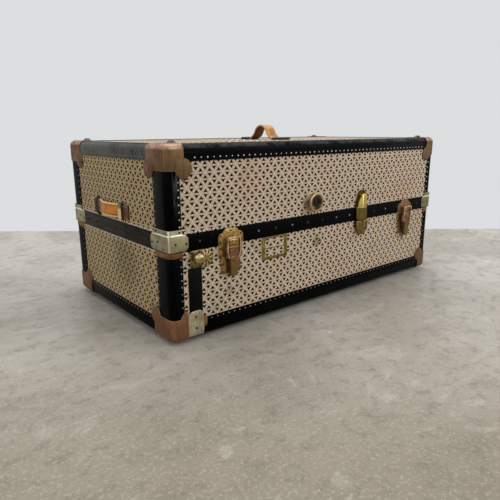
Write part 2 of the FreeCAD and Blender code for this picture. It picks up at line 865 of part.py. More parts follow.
def lock_hasp():
    pivot = parting_height + hasp_pivot_up
    low = parting_height + hasp_bottom_up
    seam = parting_height + hasp_seam_up
    half = hasp_width / 2
    low_half = hasp_low_half_width
    top = pivot + hasp_radius
    front = hasp_pivot_out + hasp_radius
    back = hasp_pivot_out - hasp_radius
    outline = [(-low_half, low, hasp_low_round), (low_half, low, hasp_low_round),
               (low_half, seam, 0), (half, seam, 0), *hasp_crown(half, top, 0),
               (-half, seam, 0), (-low_half, seam, 0)]
    profile = [(hasp_back_out, low, 0), (hasp_lip_out, low, 0), (front, pivot - half, 0),
               (front, top, hasp_radius), (back, top, hasp_radius),
               (back, pivot - hasp_radius, 0), (hasp_back_out, pivot - half, 0)]
    bulge = Part.makeCylinder(hasp_bulge_radius, top - low + 2 * overrun,
                              vector(0, hasp_bulge_radius - front, low - overrun),
                              vector(0, 0, 1))
    body = plate(outline, back, front).common(section_along_x(profile, -low_half, low_half))
    body = body.common(bulge)
    pocket = box(-half + hasp_wall, half - hasp_wall, -(front - 2 * hasp_wall), overrun,
                 low + 2 * hasp_wall, pivot - half)
    tongue = box(-tongue_width / 2, tongue_width / 2, -(tongue_back_out + tongue_thickness),
                 -tongue_back_out, low - tongue_drop, low + hasp_wall)
    bore = rod_x(hasp_pin_radius + pin_clearance, -half, half, hasp_pivot_out, pivot)
    return fused([body.cut(pocket), tongue]).cut(bore)


def hasp_arch(half, low, top, growth, out_start, out_end):
    return plate([(-half, low, 0), (half, low, 0), *hasp_crown(half, top, growth)], out_start, out_end)


def lock_body():
    half = lock_width / 2
    top = parting_height - flat_gap
    low = parting_height - lock_drop
    shoulder = parting_height - lock_shoulder_down
    outline = [(-lock_tip_half_width, low, lock_tip_round), (lock_tip_half_width, low, lock_tip_round),
               (half, shoulder, lock_shoulder_round), (half, top, 0),
               (-half, top, 0), (-half, shoulder, lock_shoulder_round)]
    body = plate(outline, 0, lock_thickness)
    front_edges = [edge for edge in body.Edges
                   if abs(edge.BoundBox.YMin + lock_thickness) < tiny
                   and abs(edge.BoundBox.YMax + lock_thickness) < tiny]
    body = body.makeChamfer(lock_bevel, front_edges)
    slot_half = tongue_width / 2 + tongue_gap
    slot_low = parting_height + hasp_bottom_up - tongue_drop - tongue_gap
    slot = box(-slot_half, slot_half, -(lock_thickness + overrun), -(tongue_back_out - tongue_gap),
               slot_low, top + overrun)
    keyhole = rod_out(keyhole_radius, 0, parting_height - keyhole_down,
                      lock_thickness - keyhole_depth, lock_thickness + overrun)
    return body.cut(slot).cut(keyhole)


def make_lock():
    pivot = parting_height + hasp_pivot_up
    inner = hasp_width / 2 + hasp_side_gap
    outer = inner + hasp_rim
    low = parting_height + hasp_plate_bottom_up
    top = pivot + hasp_radius + hasp_plate_top_gap
    rim = hasp_arch(outer, low, top + hasp_rim, hasp_rim, 0, hasp_rim_out)
    rim = rim.cut(hasp_arch(inner, low - overrun, top, hasp_side_gap,
                            plate_thickness, hasp_rim_out + overrun))
    ear_end = hasp_ear_inner + hasp_ear_width
    profile = clipped_rectangle(0, hasp_pivot_out + hasp_ear_radius, pivot - hasp_ear_radius,
                                pivot + hasp_ear_radius, hasp_ear_clip)
    ear = section_along_x(profile, hasp_ear_inner, ear_end)
    pin = rod_x(hasp_pin_radius, -ear_end, ear_end, hasp_pivot_out, pivot)
    return {"lock_hasp": on_front(lock_hasp(), lock_centre_x),
            "hasp_plate": on_front(fused([rim] + left_and_right(ear)).cut(pin), lock_centre_x),
            "hasp_pin": on_front(pin, lock_centre_x),
            "lock_body": on_front(lock_body(), lock_centre_x)}


def make_ring():
    lip_start = ring_length - ring_lip_length
    profile = [(0, 0, 0), (ring_flange_radius, 0, 0), (ring_flange_radius, ring_flange_thickness, 0),
               (ring_radius, ring_flange_thickness, 0), (ring_radius, lip_start, 0),
               (ring_lip_radius, lip_start + ring_lip_bevel, 0),
               (ring_lip_radius, ring_length - ring_lip_bevel, 0),
               (ring_lip_radius - ring_lip_bevel, ring_length, 0), (ring_bore_radius, ring_length, 0),
               (ring_bore_radius, ring_flange_thickness, 0), (0, ring_flange_thickness, 0)]
    socket = turned(profile, 0, ring_centre_z)
    barrel_out = ring_flange_thickness + barrel_length
    barrel = rod_out(barrel_radius, 0, ring_centre_z, ring_flange_thickness, barrel_out)
    half_slot = barrel_slot_width / 2
    slot = box(-half_slot, half_slot, -(barrel_out + overrun), -(barrel_out - barrel_slot_depth),
               ring_centre_z - barrel_slot_length / 2, ring_centre_z + barrel_slot_length / 2)
    return {"ring_socket": on_front(socket, ring_centre_x),
            "ring_barrel": on_front(barrel.cut(slot), ring_centre_x)}


def hinge_leaf(lower):
    # The lower leaf has the outer knuckles, the upper leaf the middle one.
    length = hinge_width / knuckle_count
    half = hinge_width / 2
    seat = 0 if lower else band_out
    start = knuckle_radius + running_gap
    section = clipped_rectangle(hinge_out - knuckle_radius, hinge_out + knuckle_radius,
                                -knuckle_radius, knuckle_radius, knuckle_clip)
    sheet = plate(rectangle(-half, half, start, start + hinge_leaf_height),
                  seat, seat + hinge_leaf_thickness)
    parts = [sheet]
    for index in range(knuckle_count):
        if (index % 2 == 0) == lower:
            x0 = -half + index * length + flat_gap / 2
            x1 = x0 + length - flat_gap
            parts.append(section_along_x(section, x0, x1))
            parts.append(box(x0, x1, -hinge_out, -seat, web_top_down, start + hinge_leaf_thickness))
    bore = rod_x(hinge_pin_radius + hinge_pin_clearance, -half, half, hinge_out, 0)
    leaf = fused(parts).cut(bore)
    if lower:
        leaf = leaf.mirror(vector(0, 0, 0), vector(0, 0, 1))
    return leaf.translated(vector(0, 0, parting_height))


def make_hinges():
    half = hinge_width / 2
    pin = rod_x(hinge_pin_radius, -half, half, hinge_out, parting_height)
    return {"hinge_lower_leaves": group([on_back(hinge_leaf(True), x) for x in hinge_centres_x]),
            "hinge_upper_leaves": group([on_back(hinge_leaf(False), x) for x in hinge_centres_x]),
            "hinge_pins": group([on_back(pin, x) for x in hinge_centres_x])}


def arched_strap(half_span, rise, bend, foot, thickness, width, seat):
    # A strap with flat feet and a raised middle, lying across X, raised outwards along -Y.
    turn = 2 * math.atan(rise / half_span)
    crown = half_span / math.sin(turn) - bend
    middle = seat + thickness / 2

    def side(offset):
        # Points of one face of the strap, from the left foot to the crown.
        low = middle + offset
        foot_radius = bend - offset
        crown_radius = crown + offset
        foot_centre = vector(-half_span, middle + bend, 0)
        crown_centre_up = middle + rise - crown
        half_turn = turn / 2
        join = foot_centre + vector(math.sin(turn), -math.cos(turn), 0) * foot_radius
        foot_middle = foot_centre + vector(math.sin(half_turn), -math.cos(half_turn), 0) * foot_radius
        crown_middle = vector(-crown_radius * math.sin(half_turn),
                              crown_centre_up + crown_radius * math.cos(half_turn), 0)
        return (vector(-half_span - foot, low, 0), vector(-half_span, low, 0), foot_middle, join,
                crown_middle, vector(0, crown_centre_up + crown_radius, 0))

    def flip(p):
        return vector(-p.x, p.y, 0)

    def face_edges(p):
        return [Part.LineSegment(p[0], p[1]).toShape(),
                Part.Arc(p[1], p[2], p[3]).toShape(),
                Part.Arc(p[3], p[4], p[5]).toShape(),
                Part.Arc(p[5], flip(p[4]), flip(p[3])).toShape(),
                Part.Arc(flip(p[3]), flip(p[2]), flip(p[1])).toShape(),
                Part.LineSegment(flip(p[1]), flip(p[0])).toShape()]

    outer = side(thickness / 2)
    inner = side(-thickness / 2)
    ends = [Part.LineSegment(outer[0], inner[0]).toShape(),
            Part.LineSegment(flip(outer[0]), flip(inner[0])).toShape()]
    edges = Part.__sortEdges__(face_edges(outer) + face_edges(inner) + ends)
    strap = Part.Face(Part.Wire(edges)).extrude(vector(0, 0, width))
    return mirrored_y(strap.translated(vector(0, 0, -width / 2)))


def end_loop():
    # A bar that stands off the end on two legs, each with a foot on the covering.
    half = end_loop_height / 2
    leg = half - end_loop_foot
    wall = end_loop_wall
    out = end_loop_out
    z = end_handle_centre_z
    profile = [(0, z - half, 0), (wall, z - half, 0), (wall, z - leg, 0), (out, z - leg, end_loop_round),
               (out, z + leg, end_loop_round), (wall, z + leg, 0), (wall, z + half, 0),
               (0, z + half, 0), (0, z + leg - wall, 0), (out - wall, z + leg - wall, 0),
               (out - wall, z - leg + wall, 0), (0, z - leg + wall, 0)]
    start = end_loop_offset - end_loop_width / 2
    return section_along_x(profile, start, start + end_loop_width)


def make_end_handle():
    strap = arched_strap(end_strap_half_span, end_strap_rise, end_strap_bend, end_strap_foot,
                         end_strap_thickness, end_strap_width, flat_gap)
    strap.translate(vector(0, 0, end_handle_centre_z))
    loops = group(left_and_right(end_loop()))
    return {"end_handle_strap": on_left(strap, end_handle_centre_y),
            "end_handle_brackets": on_left(loops, end_handle_centre_y)}


def make_top_handle():
    strap = arched_strap(top_strap_half_span, top_strap_rise, top_strap_bend, top_strap_foot,
                         top_strap_thickness, top_strap_width, 0)
    end = top_strap_half_span + top_strap_foot + top_plate_wall
    cup = box(end - top_plate_length, end, -top_plate_height, 0,
              -top_plate_width / 2, top_plate_width / 2)
    top_edges = [edge for edge in cup.Edges
                 if abs(edge.BoundBox.YMax + top_plate_height) < tiny]
    cup = cup.makeChamfer(top_plate_round, top_edges).cut(strap)
    lift = vector(0, 0, top_face)
    return {"top_handle_strap": facing_up(strap).translated(lift),
            "top_handle_plates": facing_up(group(left_and_right(cup))).translated(lift)}


def drawer_places():
    # Start and end of each drawer and each divider, from the open compartment to the right end.
    x = -half_length + inside_depth + compartment_length
    places = []
    dividers = []
    for length in drawer_lengths:
        dividers.append((x, x + divider_thickness))
        x += divider_thickness + drawer_gap
        places.append((x, x + length))
        x += length + drawer_gap
    dividers.append((x, x + divider_thickness))
    places.append((x + divider_thickness + drawer_gap,
                   half_length - inside_depth - drawer_side_clearance))
    return places, dividers


def drawer_box(x0, x1):
    drawer_depth = inside_depth + drawer_side_clearance
    half = half_depth - drawer_depth
    low = inside_depth
    high = parting_height - drawer_drop
    body = box(x0, x1, -half, half, low, high)
    inside = box(x0 - overrun, x1 - drawer_wall, -half + drawer_wall, half - drawer_wall,
                 low + drawer_wall, high - drawer_front)
    return body.cut(inside)


def make_drawers():
    places, dividers = drawer_places()
    high = parting_height - drawer_drop
    pull = arched_strap(pull_half_span, pull_rise, pull_bend, pull_foot, pull_thickness,
                        pull_width, 0)
    nodes = {}
    for number, (x0, x1) in enumerate(places, start=1):
        nodes["drawer_%d_box" % number] = drawer_box(x0, x1)
        middle = vector((x0 + x1) / 2, 0, high)
        nodes["drawer_%d_pull" % number] = facing_up(pull).translated(middle)
    reach = half_depth - inside_depth
    high = parting_height - rim_depth_below
    panels = [box(x0, x1, -reach, reach, inside_depth, high) for x0, x1 in dividers]
    nodes["drawer_dividers"] = group(panels)
    return nodes


def hanger(z, top):
    # A wooden bar with sloping shoulders, flat in the plane of the trunk's length and depth.
    span = hanger_half_span
    shoulder = hanger_shoulder
    drop = hanger_shoulder_drop
    outline = [(top, 0, 0), (top + drop, shoulder, 0), (top + hanger_slope, span, 0),
               (top + hanger_slope + hanger_bar, span, 0), (top + drop + hanger_bar, shoulder, 0),
               (top + drop + hanger_bar, -shoulder, 0), (top + hanger_slope + hanger_bar, -span, 0),
               (top + hanger_slope, -span, 0), (top + drop, -shoulder, 0)]
    wire = rounded_wire(outline, lambda p: vector(p.x, p.y, z - hanger_thickness / 2))
    return Part.Face(wire).extrude(vector(0, 0, hanger_thickness))


def hanger_hook(z, foot_x, top):
    # A flat hook that grips the foot of the rail and runs into the wood.
    half = hook_width / 2
    low = z - hook_thickness / 2
    high = z + hook_thickness / 2
    hook = box(foot_x - hook_wall - rail_fit, top + hook_into_wood, -half, half, low, high)
    grip_half = rail_foot_width / 2 + rail_fit
    grip = box(foot_x - rail_fit, foot_x + rail_foot_depth, -grip_half, grip_half,
               low - overrun, high + overrun)
    throat_half = rail_web / 2 + rail_fit
    throat = box(foot_x - hook_wall - overrun, foot_x, -throat_half, throat_half,
                 low - overrun, high + overrun)
    return hook.cut(grip).cut(throat)


def make_hanging_rail():
    wall = -half_length + inside_depth
    low = parting_height + track_bottom_up
    high = trunk_height - inside_depth - track_top_gap
    half = track_width / 2
    track = box(wall, wall + track_depth, -half, half, low, high)
    hollow = box(wall + track_wall, wall + track_depth - track_wall, -half + track_wall,
                 half - track_wall, low - overrun, high - track_wall)
    slot = box(wall + track_wall, wall + track_depth + overrun, -track_slot / 2, track_slot / 2,
               low - overrun, high - track_wall)
    head_x = wall + track_wall + rail_fit
    web_x = head_x + rail_head_depth
    foot_x = web_x + rail_web_depth
    rail_low = low + rail_end_gap
    rail_high = high - track_wall - rail_end_gap

    def bar(x0, x1, width):
        return box(x0, x1, -width / 2, width / 2, rail_low, rail_high)

    rail = fused([bar(head_x, web_x, rail_head_width), bar(web_x, foot_x, rail_web),
                  bar(foot_x, foot_x + rail_foot_depth, rail_foot_width)])
    top = foot_x + rail_foot_depth + hanger_neck
    room = trunk_height - parting_height
    shares = [hanger_first_share + i * hanger_pitch_share for i in range(hanger_count)]
    heights = [parting_height + share * room for share in shares]
    hooks = [hanger_hook(z, foot_x, top) for z in heights]
    wood = [hanger(z, top).cut(hook) for z, hook in zip(heights, hooks)]
    return {"hanging_track": track.cut(hollow).cut(slot), "hanging_rail": rail,
            "garment_hangers": group(wood), "hanger_hooks": group(hooks)}


def build_nodes():
    nodes = {}
    for make in (make_panels, make_bindings, make_corner_caps, make_band, make_rim, make_glides,
                 make_strap, make_knob, make_label_frame, make_latches, make_lock, make_ring,
                 make_hinges, make_end_handle, make_top_handle, make_drawers, make_hanging_rail):
        nodes.update(make())
    return nodes


def main():
    os.makedirs("parts", exist_ok=True)
    nodes = build_nodes()
    whole = group(list(nodes.values())).optimalBoundingBox(False, False)
    shift = vector(-whole.Center.x, -whole.Center.y, -whole.ZMin)
    for name, shape in nodes.items():
        shape.translated(shift).exportStep("parts/" + name + ".step")
    print("nodes", len(nodes))
    print("shift", [round(value, 4) for value in shift])
    print("size", [round(value, 3) for value in (whole.XLength, whole.YLength, whole.ZLength)])


main()
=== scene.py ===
import json
import math
import bmesh
import bpy
from mathutils import Matrix, Vector
from mathutils.bvhtree import BVHTree

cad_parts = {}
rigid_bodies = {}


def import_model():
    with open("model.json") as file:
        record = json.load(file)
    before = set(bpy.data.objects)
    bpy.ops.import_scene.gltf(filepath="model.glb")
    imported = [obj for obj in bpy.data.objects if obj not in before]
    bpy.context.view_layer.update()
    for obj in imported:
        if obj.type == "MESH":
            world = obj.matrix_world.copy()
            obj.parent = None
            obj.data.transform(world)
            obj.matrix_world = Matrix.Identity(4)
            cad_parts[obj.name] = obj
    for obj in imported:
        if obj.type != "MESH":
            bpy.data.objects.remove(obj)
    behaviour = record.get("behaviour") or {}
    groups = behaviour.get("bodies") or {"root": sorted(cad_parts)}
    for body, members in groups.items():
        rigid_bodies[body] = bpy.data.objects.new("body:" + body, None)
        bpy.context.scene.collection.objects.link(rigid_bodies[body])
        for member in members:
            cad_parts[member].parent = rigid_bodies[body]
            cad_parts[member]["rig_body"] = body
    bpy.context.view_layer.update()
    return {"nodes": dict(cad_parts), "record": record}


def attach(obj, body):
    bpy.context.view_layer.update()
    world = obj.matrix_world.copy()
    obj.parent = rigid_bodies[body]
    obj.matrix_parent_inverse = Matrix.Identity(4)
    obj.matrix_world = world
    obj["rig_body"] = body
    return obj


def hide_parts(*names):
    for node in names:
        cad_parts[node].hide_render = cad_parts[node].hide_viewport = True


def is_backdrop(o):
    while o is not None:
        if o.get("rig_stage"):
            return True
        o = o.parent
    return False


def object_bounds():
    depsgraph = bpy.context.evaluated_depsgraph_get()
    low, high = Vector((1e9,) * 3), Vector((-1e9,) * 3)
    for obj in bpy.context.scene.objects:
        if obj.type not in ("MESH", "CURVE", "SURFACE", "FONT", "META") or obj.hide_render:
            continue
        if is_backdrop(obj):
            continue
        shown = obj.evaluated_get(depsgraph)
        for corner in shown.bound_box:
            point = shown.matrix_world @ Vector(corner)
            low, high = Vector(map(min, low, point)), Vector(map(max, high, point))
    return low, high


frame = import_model()
nodes = frame["nodes"]
scene = bpy.context.scene

# Millimetres in the trunk's own axes: x and y from its centre, z from its underside
trunk = {"length": 1040.0, "depth": 561.0, "height": 451.0, "parting": 214.0, "cover": 1.6}
shift = Vector((6.55, 9.5, 7.0))  # the trunk's own zero in the frame


def place(x, y, z):
    return (Vector((x, y, z)) + shift) / 1000


# Places on a face: from its left or near edge, out from its covering, and up from the underside
def onFront(u, out, z):
    return place(u - trunk["length"] / 2, -trunk["depth"] / 2 + trunk["cover"] - out, z)


def onBack(u, out, z):
    return place(u - trunk["length"] / 2, trunk["depth"] / 2 - trunk["cover"] + out, z)


def onLeft(v, out, z):
    return place(-trunk["length"] / 2 + trunk["cover"] - out, v - trunk["depth"] / 2, z)


def onRight(v, out, z):
    return place(trunk["length"] / 2 - trunk["cover"] + out, v - trunk["depth"] / 2, z)


def onTop(u, v, out):
    return place(u - trunk["length"] / 2, v - trunk["depth"] / 2, trunk["height"] - trunk["cover"] + out)


def onBottom(u, v, out):
    return place(u - trunk["length"] / 2, v - trunk["depth"] / 2, trunk["cover"] - out)


class Shade:
    # A socket of a shader tree that can be used in sums
    def __init__(self, graph, socket):
        self.graph, self.socket = graph, socket

    def math(self, kind, *others):
        return self.graph.math(kind, self, *others)

    def __add__(self, other):
        return self.math("ADD", other)

    def __radd__(self, other):
        return self.math("ADD", other)

    def __sub__(self, other):
        return self.math("SUBTRACT", other)

    def __rsub__(self, other):
        return self.graph.math("SUBTRACT", other, self)

    def __mul__(self, other):
        return self.math("MULTIPLY", other)

    def __rmul__(self, other):
        return self.math("MULTIPLY", other)

    def __truediv__(self, other):
        return self.math("DIVIDE", other)

    def __rtruediv__(self, other):
        return self.graph.math("DIVIDE", other, self)

    def __lt__(self, other):
        return self.math("LESS_THAN", other)

    def __gt__(self, other):
        return self.math("GREATER_THAN", other)

    def __neg__(self):
        return self.math("MULTIPLY", -1.0)

    def abs(self):
        return self.math("ABSOLUTE")

    def ramp(self, low, high):
        # A smooth step from 0 at low to 1 at high
        return self.graph.add("ShaderNodeMapRange", {"interpolation_type": "SMOOTHSTEP"}, self, low, high)


class Graph:
    # The node tree of a new material, or of an owner such as the world
    def __init__(self, name, owner=None):
        self.owner = owner or bpy.data.materials.new(name)
        self.owner.use_nodes = True
        self.tree = self.owner.node_tree
        self.shader = self.tree.nodes["Background" if owner else "Principled BSDF"]

    def add(self, kind, settings, *values, out=0, **named):
        node = self.tree.nodes.new(kind)
        for key, value in settings.items():
            setattr(node, key, value)
        for target, value in [*zip(node.inputs, values), *((node.inputs[k], v) for k, v in named.items())]:
            self.put(target, value)
        return Shade(self, node.outputs[out])

    def put(self, target, value):
        if isinstance(value, Shade):
            self.tree.links.new(value.socket, target)
        else:
            target.default_value = (*value, 1) if target.type == "RGBA" else value

    def math(self, kind, *values):
        return self.add("ShaderNodeMath", {"operation": kind}, *values)

    def coordinates(self, kind="Object"):
        return self.add("ShaderNodeTexCoord", {}, out=kind)

    def axes(self, vector):
        split = self.add("ShaderNodeSeparateXYZ", {}, vector)
        return [Shade(self, output) for output in split.socket.node.outputs]

    def facing(self):
        return self.axes(self.coordinates("Normal"))

    def stretched(self, vector, scale, offset=(0, 0, 0)):
        return self.add("ShaderNodeMapping", {}, vector, offset, (0, 0, 0), scale)

    def noise(self, vector, scale, detail=3.0, rough=0.55, distortion=0.0):
        return self.add("ShaderNodeTexNoise", {}, vector, Scale=scale, Detail=detail, Roughness=rough,
                        Distortion=distortion)

    def mix(self, share, first, second):
        node = self.tree.nodes.new("ShaderNodeMix")
        node.data_type = "RGBA"
        for index, value in ((0, share), (6, first), (7, second)):  # factor and the two colours
            self.put(node.inputs[index], value)
        return Shade(self, node.outputs[2])

    def edges(self, low=0.985, high=0.86):
        # 1 on roundings, 0 on flats
        n = self.facing()
        return n[0].abs().math("MAXIMUM", n[1].abs()).math("MAXIMUM", n[2].abs()).ramp(low, high)

    def choose(self, share, first, second):
        return first + (second - first) * share

    def bump(self, height, strength, distance):
        return self.add("ShaderNodeBump", {}, Strength=strength, Distance=distance, Height=height)

    def finish(self, **sockets):
        for key, value in sockets.items():
            self.put(self.shader.inputs[key.replace("_", " ")], value)
        return self.owner


def tone(red, green, blue):
    # Linear colour from the usual 0 to 255 values
    return tuple((c / 255) ** 2.2 for c in (red, green, blue))


def deeper(colour, share):
    return tuple(c * share for c in colour)


# Patterned covering: pairs of dark triangles, base to base, in columns set half a period apart
pattern = {"column": 12.35, "period": 30.9, "phase": (-226.95, 116.6), "base": 2.1, "tall": 8.2, "half": 6.35,
           "waver": 0.7, "dark": tone(30, 16, 5), "light": tone(240, 227, 206), "ground": tone(194, 175, 152)}
# Tints of the covering: random ageing, and a darker, yellower tone on the end faces that is painted shade
ageingAndEndShade = {"tan": tone(188, 146, 112), "moss": tone(150, 146, 112), "pink": tone(198, 160, 142),
          "olive": tone(172, 164, 122), "ends": tone(166, 144, 94), "grime": tone(88, 70, 48)}
# Stains: place, radius, strength and colour
stains = (((-49, -280, 176), 24, 0.5, tone(58, 38, 28)), ((-475, -280, 375), 10, 0.75, tone(66, 30, 20)),
          ((-474, -280, 276), 7, 0.8, tone(66, 30, 20)), ((-356, -280, 96), 17, 0.4, tone(110, 70, 40)),
          ((-520, -50, 150), 100, 0.34, tone(56, 50, 34)), ((-520, -200, 62), 34, 0.4, tone(70, 60, 40)),
          ((-290, -280, 376), 70, 0.07, tone(196, 120, 76)), ((369, -280, 126), 14, 0.5, tone(90, 62, 44)))
# The faint line behind the label frame
labelLine = {"from": 276.0, "to": 348.0, "z": 183.0, "colour": tone(84, 70, 48)}


def makeCovering():
    g = Graph("covering")
    coords = g.coordinates()
    x, y, z = g.axes(coords)
    nx, ny, nz = g.facing()
    wobble = g.noise(coords, 140, 2.0) - 0.5
    flat = nz.abs() > 0.5
    end = nx.abs() > 0.5
    u = g.choose(end, x, y) * 1000 + wobble * pattern["waver"]
    v = g.choose(flat, z, y) * 1000 + wobble * pattern["waver"]
    column = (u - pattern["phase"][0]) / pattern["column"]
    number = column.math("ROUND")
    across = (column - number).abs() * pattern["column"]
    odd = (number * 0.5).math("FRACT") * 2
    along = (v - pattern["phase"][1] + odd * (pattern["period"] / 2)) / pattern["period"]
    along = (along - along.math("ROUND")).abs() * pattern["period"]
    share = (along - pattern["base"]) / pattern["tall"]
    inside = (1 - share) * pattern["half"] - across
    ink = g.noise(coords, 420, 2.0) - 0.5
    triangle = (inside + ink * 1.2).ramp(-0.3, 0.5) * (share + ink * 0.2).ramp(-0.1, 0.08)
    # Pale lines between the triangles
    stem = across.ramp(0.9, 0.2) * share.ramp(0.7, 1.1)
    lines = (along - across * (pattern["period"] / 2 / pattern["column"])).abs().ramp(1.3, 0.3)
    cream = g.mix((lines + stem).math("MINIMUM", 1.0) * 0.7, pattern["ground"], pattern["light"])
    weave = g.noise(coords, 1400, 1.0)
    tint = g.noise(coords, 9, 4.0, 0.6)
    damp = g.noise(g.stretched(coords, (1, 1, 1), (3, 1, 2)), 6, 4.0)
    hue = g.noise(coords, 75, 3.0, 0.6)
    # The end faces get the darker, yellower tone as painted shade
    for strength, colour in ((tint.ramp(0.5, 0.75) * 0.35, "tan"), (damp.ramp(0.52, 0.74) * 0.4, "moss"),
                             (hue.ramp(0.52, 0.66) * 0.2, "pink"), (hue.ramp(0.46, 0.34) * 0.3, "olive"),
                             (end * 0.6, "ends")):
        cream = g.mix(strength, cream, ageingAndEndShade[colour])
    inked = g.mix(triangle, cream, pattern["dark"])
    grime = g.noise(g.stretched(coords, (1, 1, 2), (5, 7, 1)), 14, 6.0, 0.7).ramp(0.56, 0.74)
    colour = g.mix(grime * 0.3, inked, ageingAndEndShade["grime"])
    cloud = g.noise(coords, 60, 4.0, 0.7)
    for spot, radius, depth, brown in stains:
        away = g.add("ShaderNodeVectorMath", {"operation": "DISTANCE"}, coords, place(*spot), out="Value")
        mark = (away * 1000 + (cloud - 0.5) * radius * 1.6).ramp(radius, radius * 0.3)
        colour = g.mix(mark * depth, colour, brown)
    start, stop = (labelLine[key] - trunk["length"] / 2 for key in ("from", "to"))
    level = (v - labelLine["z"] - shift.z).abs().ramp(1.9, 0.8) * (u > start) * (u < stop)
    colour = g.mix(level * (1 - end) * (ny < 0.0) * 0.7, colour, labelLine["colour"])
    return g.finish(Base_Color=colour, Roughness=0.62 + tint * 0.2, Specular_IOR_Level=0.06,
                    Normal=g.bump(weave + ink * 0.5, 0.25, 0.0006))


# Black fibre: on the end a pale grey, part dust and part painted sheen, lies most on the upper binding, less
# on the band
fibre = {"dustAndSheenFrom": 405, "dustAndSheenFull": 425, "band": 239, "black": tone(4, 5, 7), "soot": tone(11, 12, 16),
         "scratch": tone(80, 80, 80), "scuff": tone(70, 68, 64), "wearAndHighlight": tone(96, 96, 98),
         "dustAndSheen": tone(106, 106, 102), "bandDustAndSheen": tone(66, 60, 50)}


def makeBinding():
    g = Graph("binding")
    coords = g.coordinates()
    z = g.axes(coords)[2] * 1000
    nx, _, nz = g.facing()
    broad = g.noise(coords, 11, 4.0, 0.6)
    fine = g.noise(coords, 260, 3.0, 0.7)
    upright = g.noise(g.stretched(coords, (1, 1, 0.05)), 520, 2.0)
    level = g.noise(g.stretched(coords, (0.05, 0.05, 1)), 420, 3.0)
    scuff = g.noise(coords, 60, 5.0, 0.75).ramp(0.62, 0.78)
    end = (-nx).ramp(0.2, 0.6)
    # Pale grey where the upper binding and the band face the left: dust and painted sheen
    dustAndSheen = end * z.ramp(fibre["dustAndSheenFrom"], fibre["dustAndSheenFull"]) * (upright * 0.55 + broad * 0.45).ramp(0.3, 0.6)
    bandDustSheen = end * (z - fibre["band"]).abs().ramp(22, 19) * (level * 0.6 + broad * 0.4).ramp(0.36, 0.6)
    # Upward-facing roundings turn grey: partly rubbed, partly painted highlight
    rubs = (broad * 0.5 + g.noise(coords, 35, 4.0, 0.7) * 0.5).ramp(0.42, 0.62)
    wearAndHighlight = g.edges(0.97, 0.8) * nz.ramp(0.3, 0.55) * rubs
    colour = g.mix(broad.ramp(0.35, 0.7), fibre["black"], fibre["soot"])
    for strength, over in ((upright.ramp(0.66, 0.74) * 0.14, "scratch"), (scuff * 0.16, "scuff"),
                           (wearAndHighlight * 0.5, "wearAndHighlight"), (dustAndSheen * 0.95, "dustAndSheen"), (bandDustSheen * 0.75, "bandDustAndSheen")):
        colour = g.mix(strength, colour, fibre[over])
    roughness = 0.3 + fine * 0.16 + scuff * 0.25 + dustAndSheen * 0.2
    return g.finish(Base_Color=colour, Roughness=roughness, Specular_IOR_Level=0.03,
                    Normal=g.bump(fine * 0.4 + broad + upright * 0.2, 0.22, 0.001))


# Makers of the other finishes: their colours are 0 to 255, and extra adds a piece's own marks and, on some
# pieces, painted light
def metal(name, light, dark, wearAndHighlight, rough=0.38, scale=30.0, grime=0.5, shine=1.0, dents=0.25, extra=None):
    g = Graph(name)
    light, dark, wearAndHighlight = tone(*light), tone(*dark), tone(*wearAndHighlight)
    coords = g.coordinates()
    broad = g.noise(coords, scale, 5.0, 0.62)
    fine = g.noise(coords, scale * 9, 4.0, 0.7)
    streaks = g.noise(g.stretched(coords, (1, 1, 0.12)), scale * 12, 3.0)
    colour = g.mix(broad.ramp(0.38, 0.66), light, dark)
    colour = g.mix(fine.ramp(0.55, 0.75) * grime, colour, dark)
    colour = g.mix((broad * 0.5 + streaks * 0.5).ramp(0.56, 0.66) * 0.6, colour, wearAndHighlight)
    # Roundings take the pale colour: partly rubbed, partly painted highlight
    colour = g.mix(g.edges() * broad.ramp(0.3, 0.6) * 0.8, colour, wearAndHighlight)
    spots = g.add("ShaderNodeTexVoronoi", {}, coords, Scale=scale * 7).ramp(0.16, 0.06)
    colour = g.mix(spots * broad.ramp(0.45, 0.6) * grime, colour, deeper(dark, 0.25))
    roughness = rough + (fine - 0.5) * 0.35 + broad.ramp(0.4, 0.7) * 0.14
    height = fine * 0.35 + broad + streaks * 0.15
    if extra:
        colour, height, roughness = extra(g, coords, colour, height, roughness)
    return g.finish(Base_Color=colour, Metallic=shine, Roughness=roughness,
                    Normal=g.bump(height, dents, 0.0012))


def hardware(name, light, dark, wearAndHighlight, rough=0.38, grime=0.6, extra=None):
    # Small brass, blotched at its own scale
    return metal(name, light, dark, wearAndHighlight, rough, 95.0, grime, 0.9, 0.3, extra)


def leather(name, light, dark, rough=0.5, shine=0.18, extra=None):
    g = Graph(name)
    light, dark = tone(*light), tone(*dark)
    coords = g.coordinates()
    broad = g.noise(coords, 26, 4.0, 0.6)
    fine = g.noise(coords, 420, 3.0, 0.6)
    crackle = g.add("ShaderNodeTexVoronoi", {"feature": "DISTANCE_TO_EDGE"}, coords, Scale=620.0)
    colour = g.mix(broad.ramp(0.35, 0.68), light, dark)
    colour = g.mix(fine.ramp(0.56, 0.8) * 0.5, colour, deeper(dark, 0.35))
    if extra:
        colour = extra(g, coords, colour)
    return g.finish(Base_Color=colour, Roughness=rough + (fine - 0.5) * 0.25, Specular_IOR_Level=shine,
                    Normal=g.bump(crackle.ramp(0.0, 0.12) * 0.4 + fine * 0.5 + broad, 0.3, 0.0008))


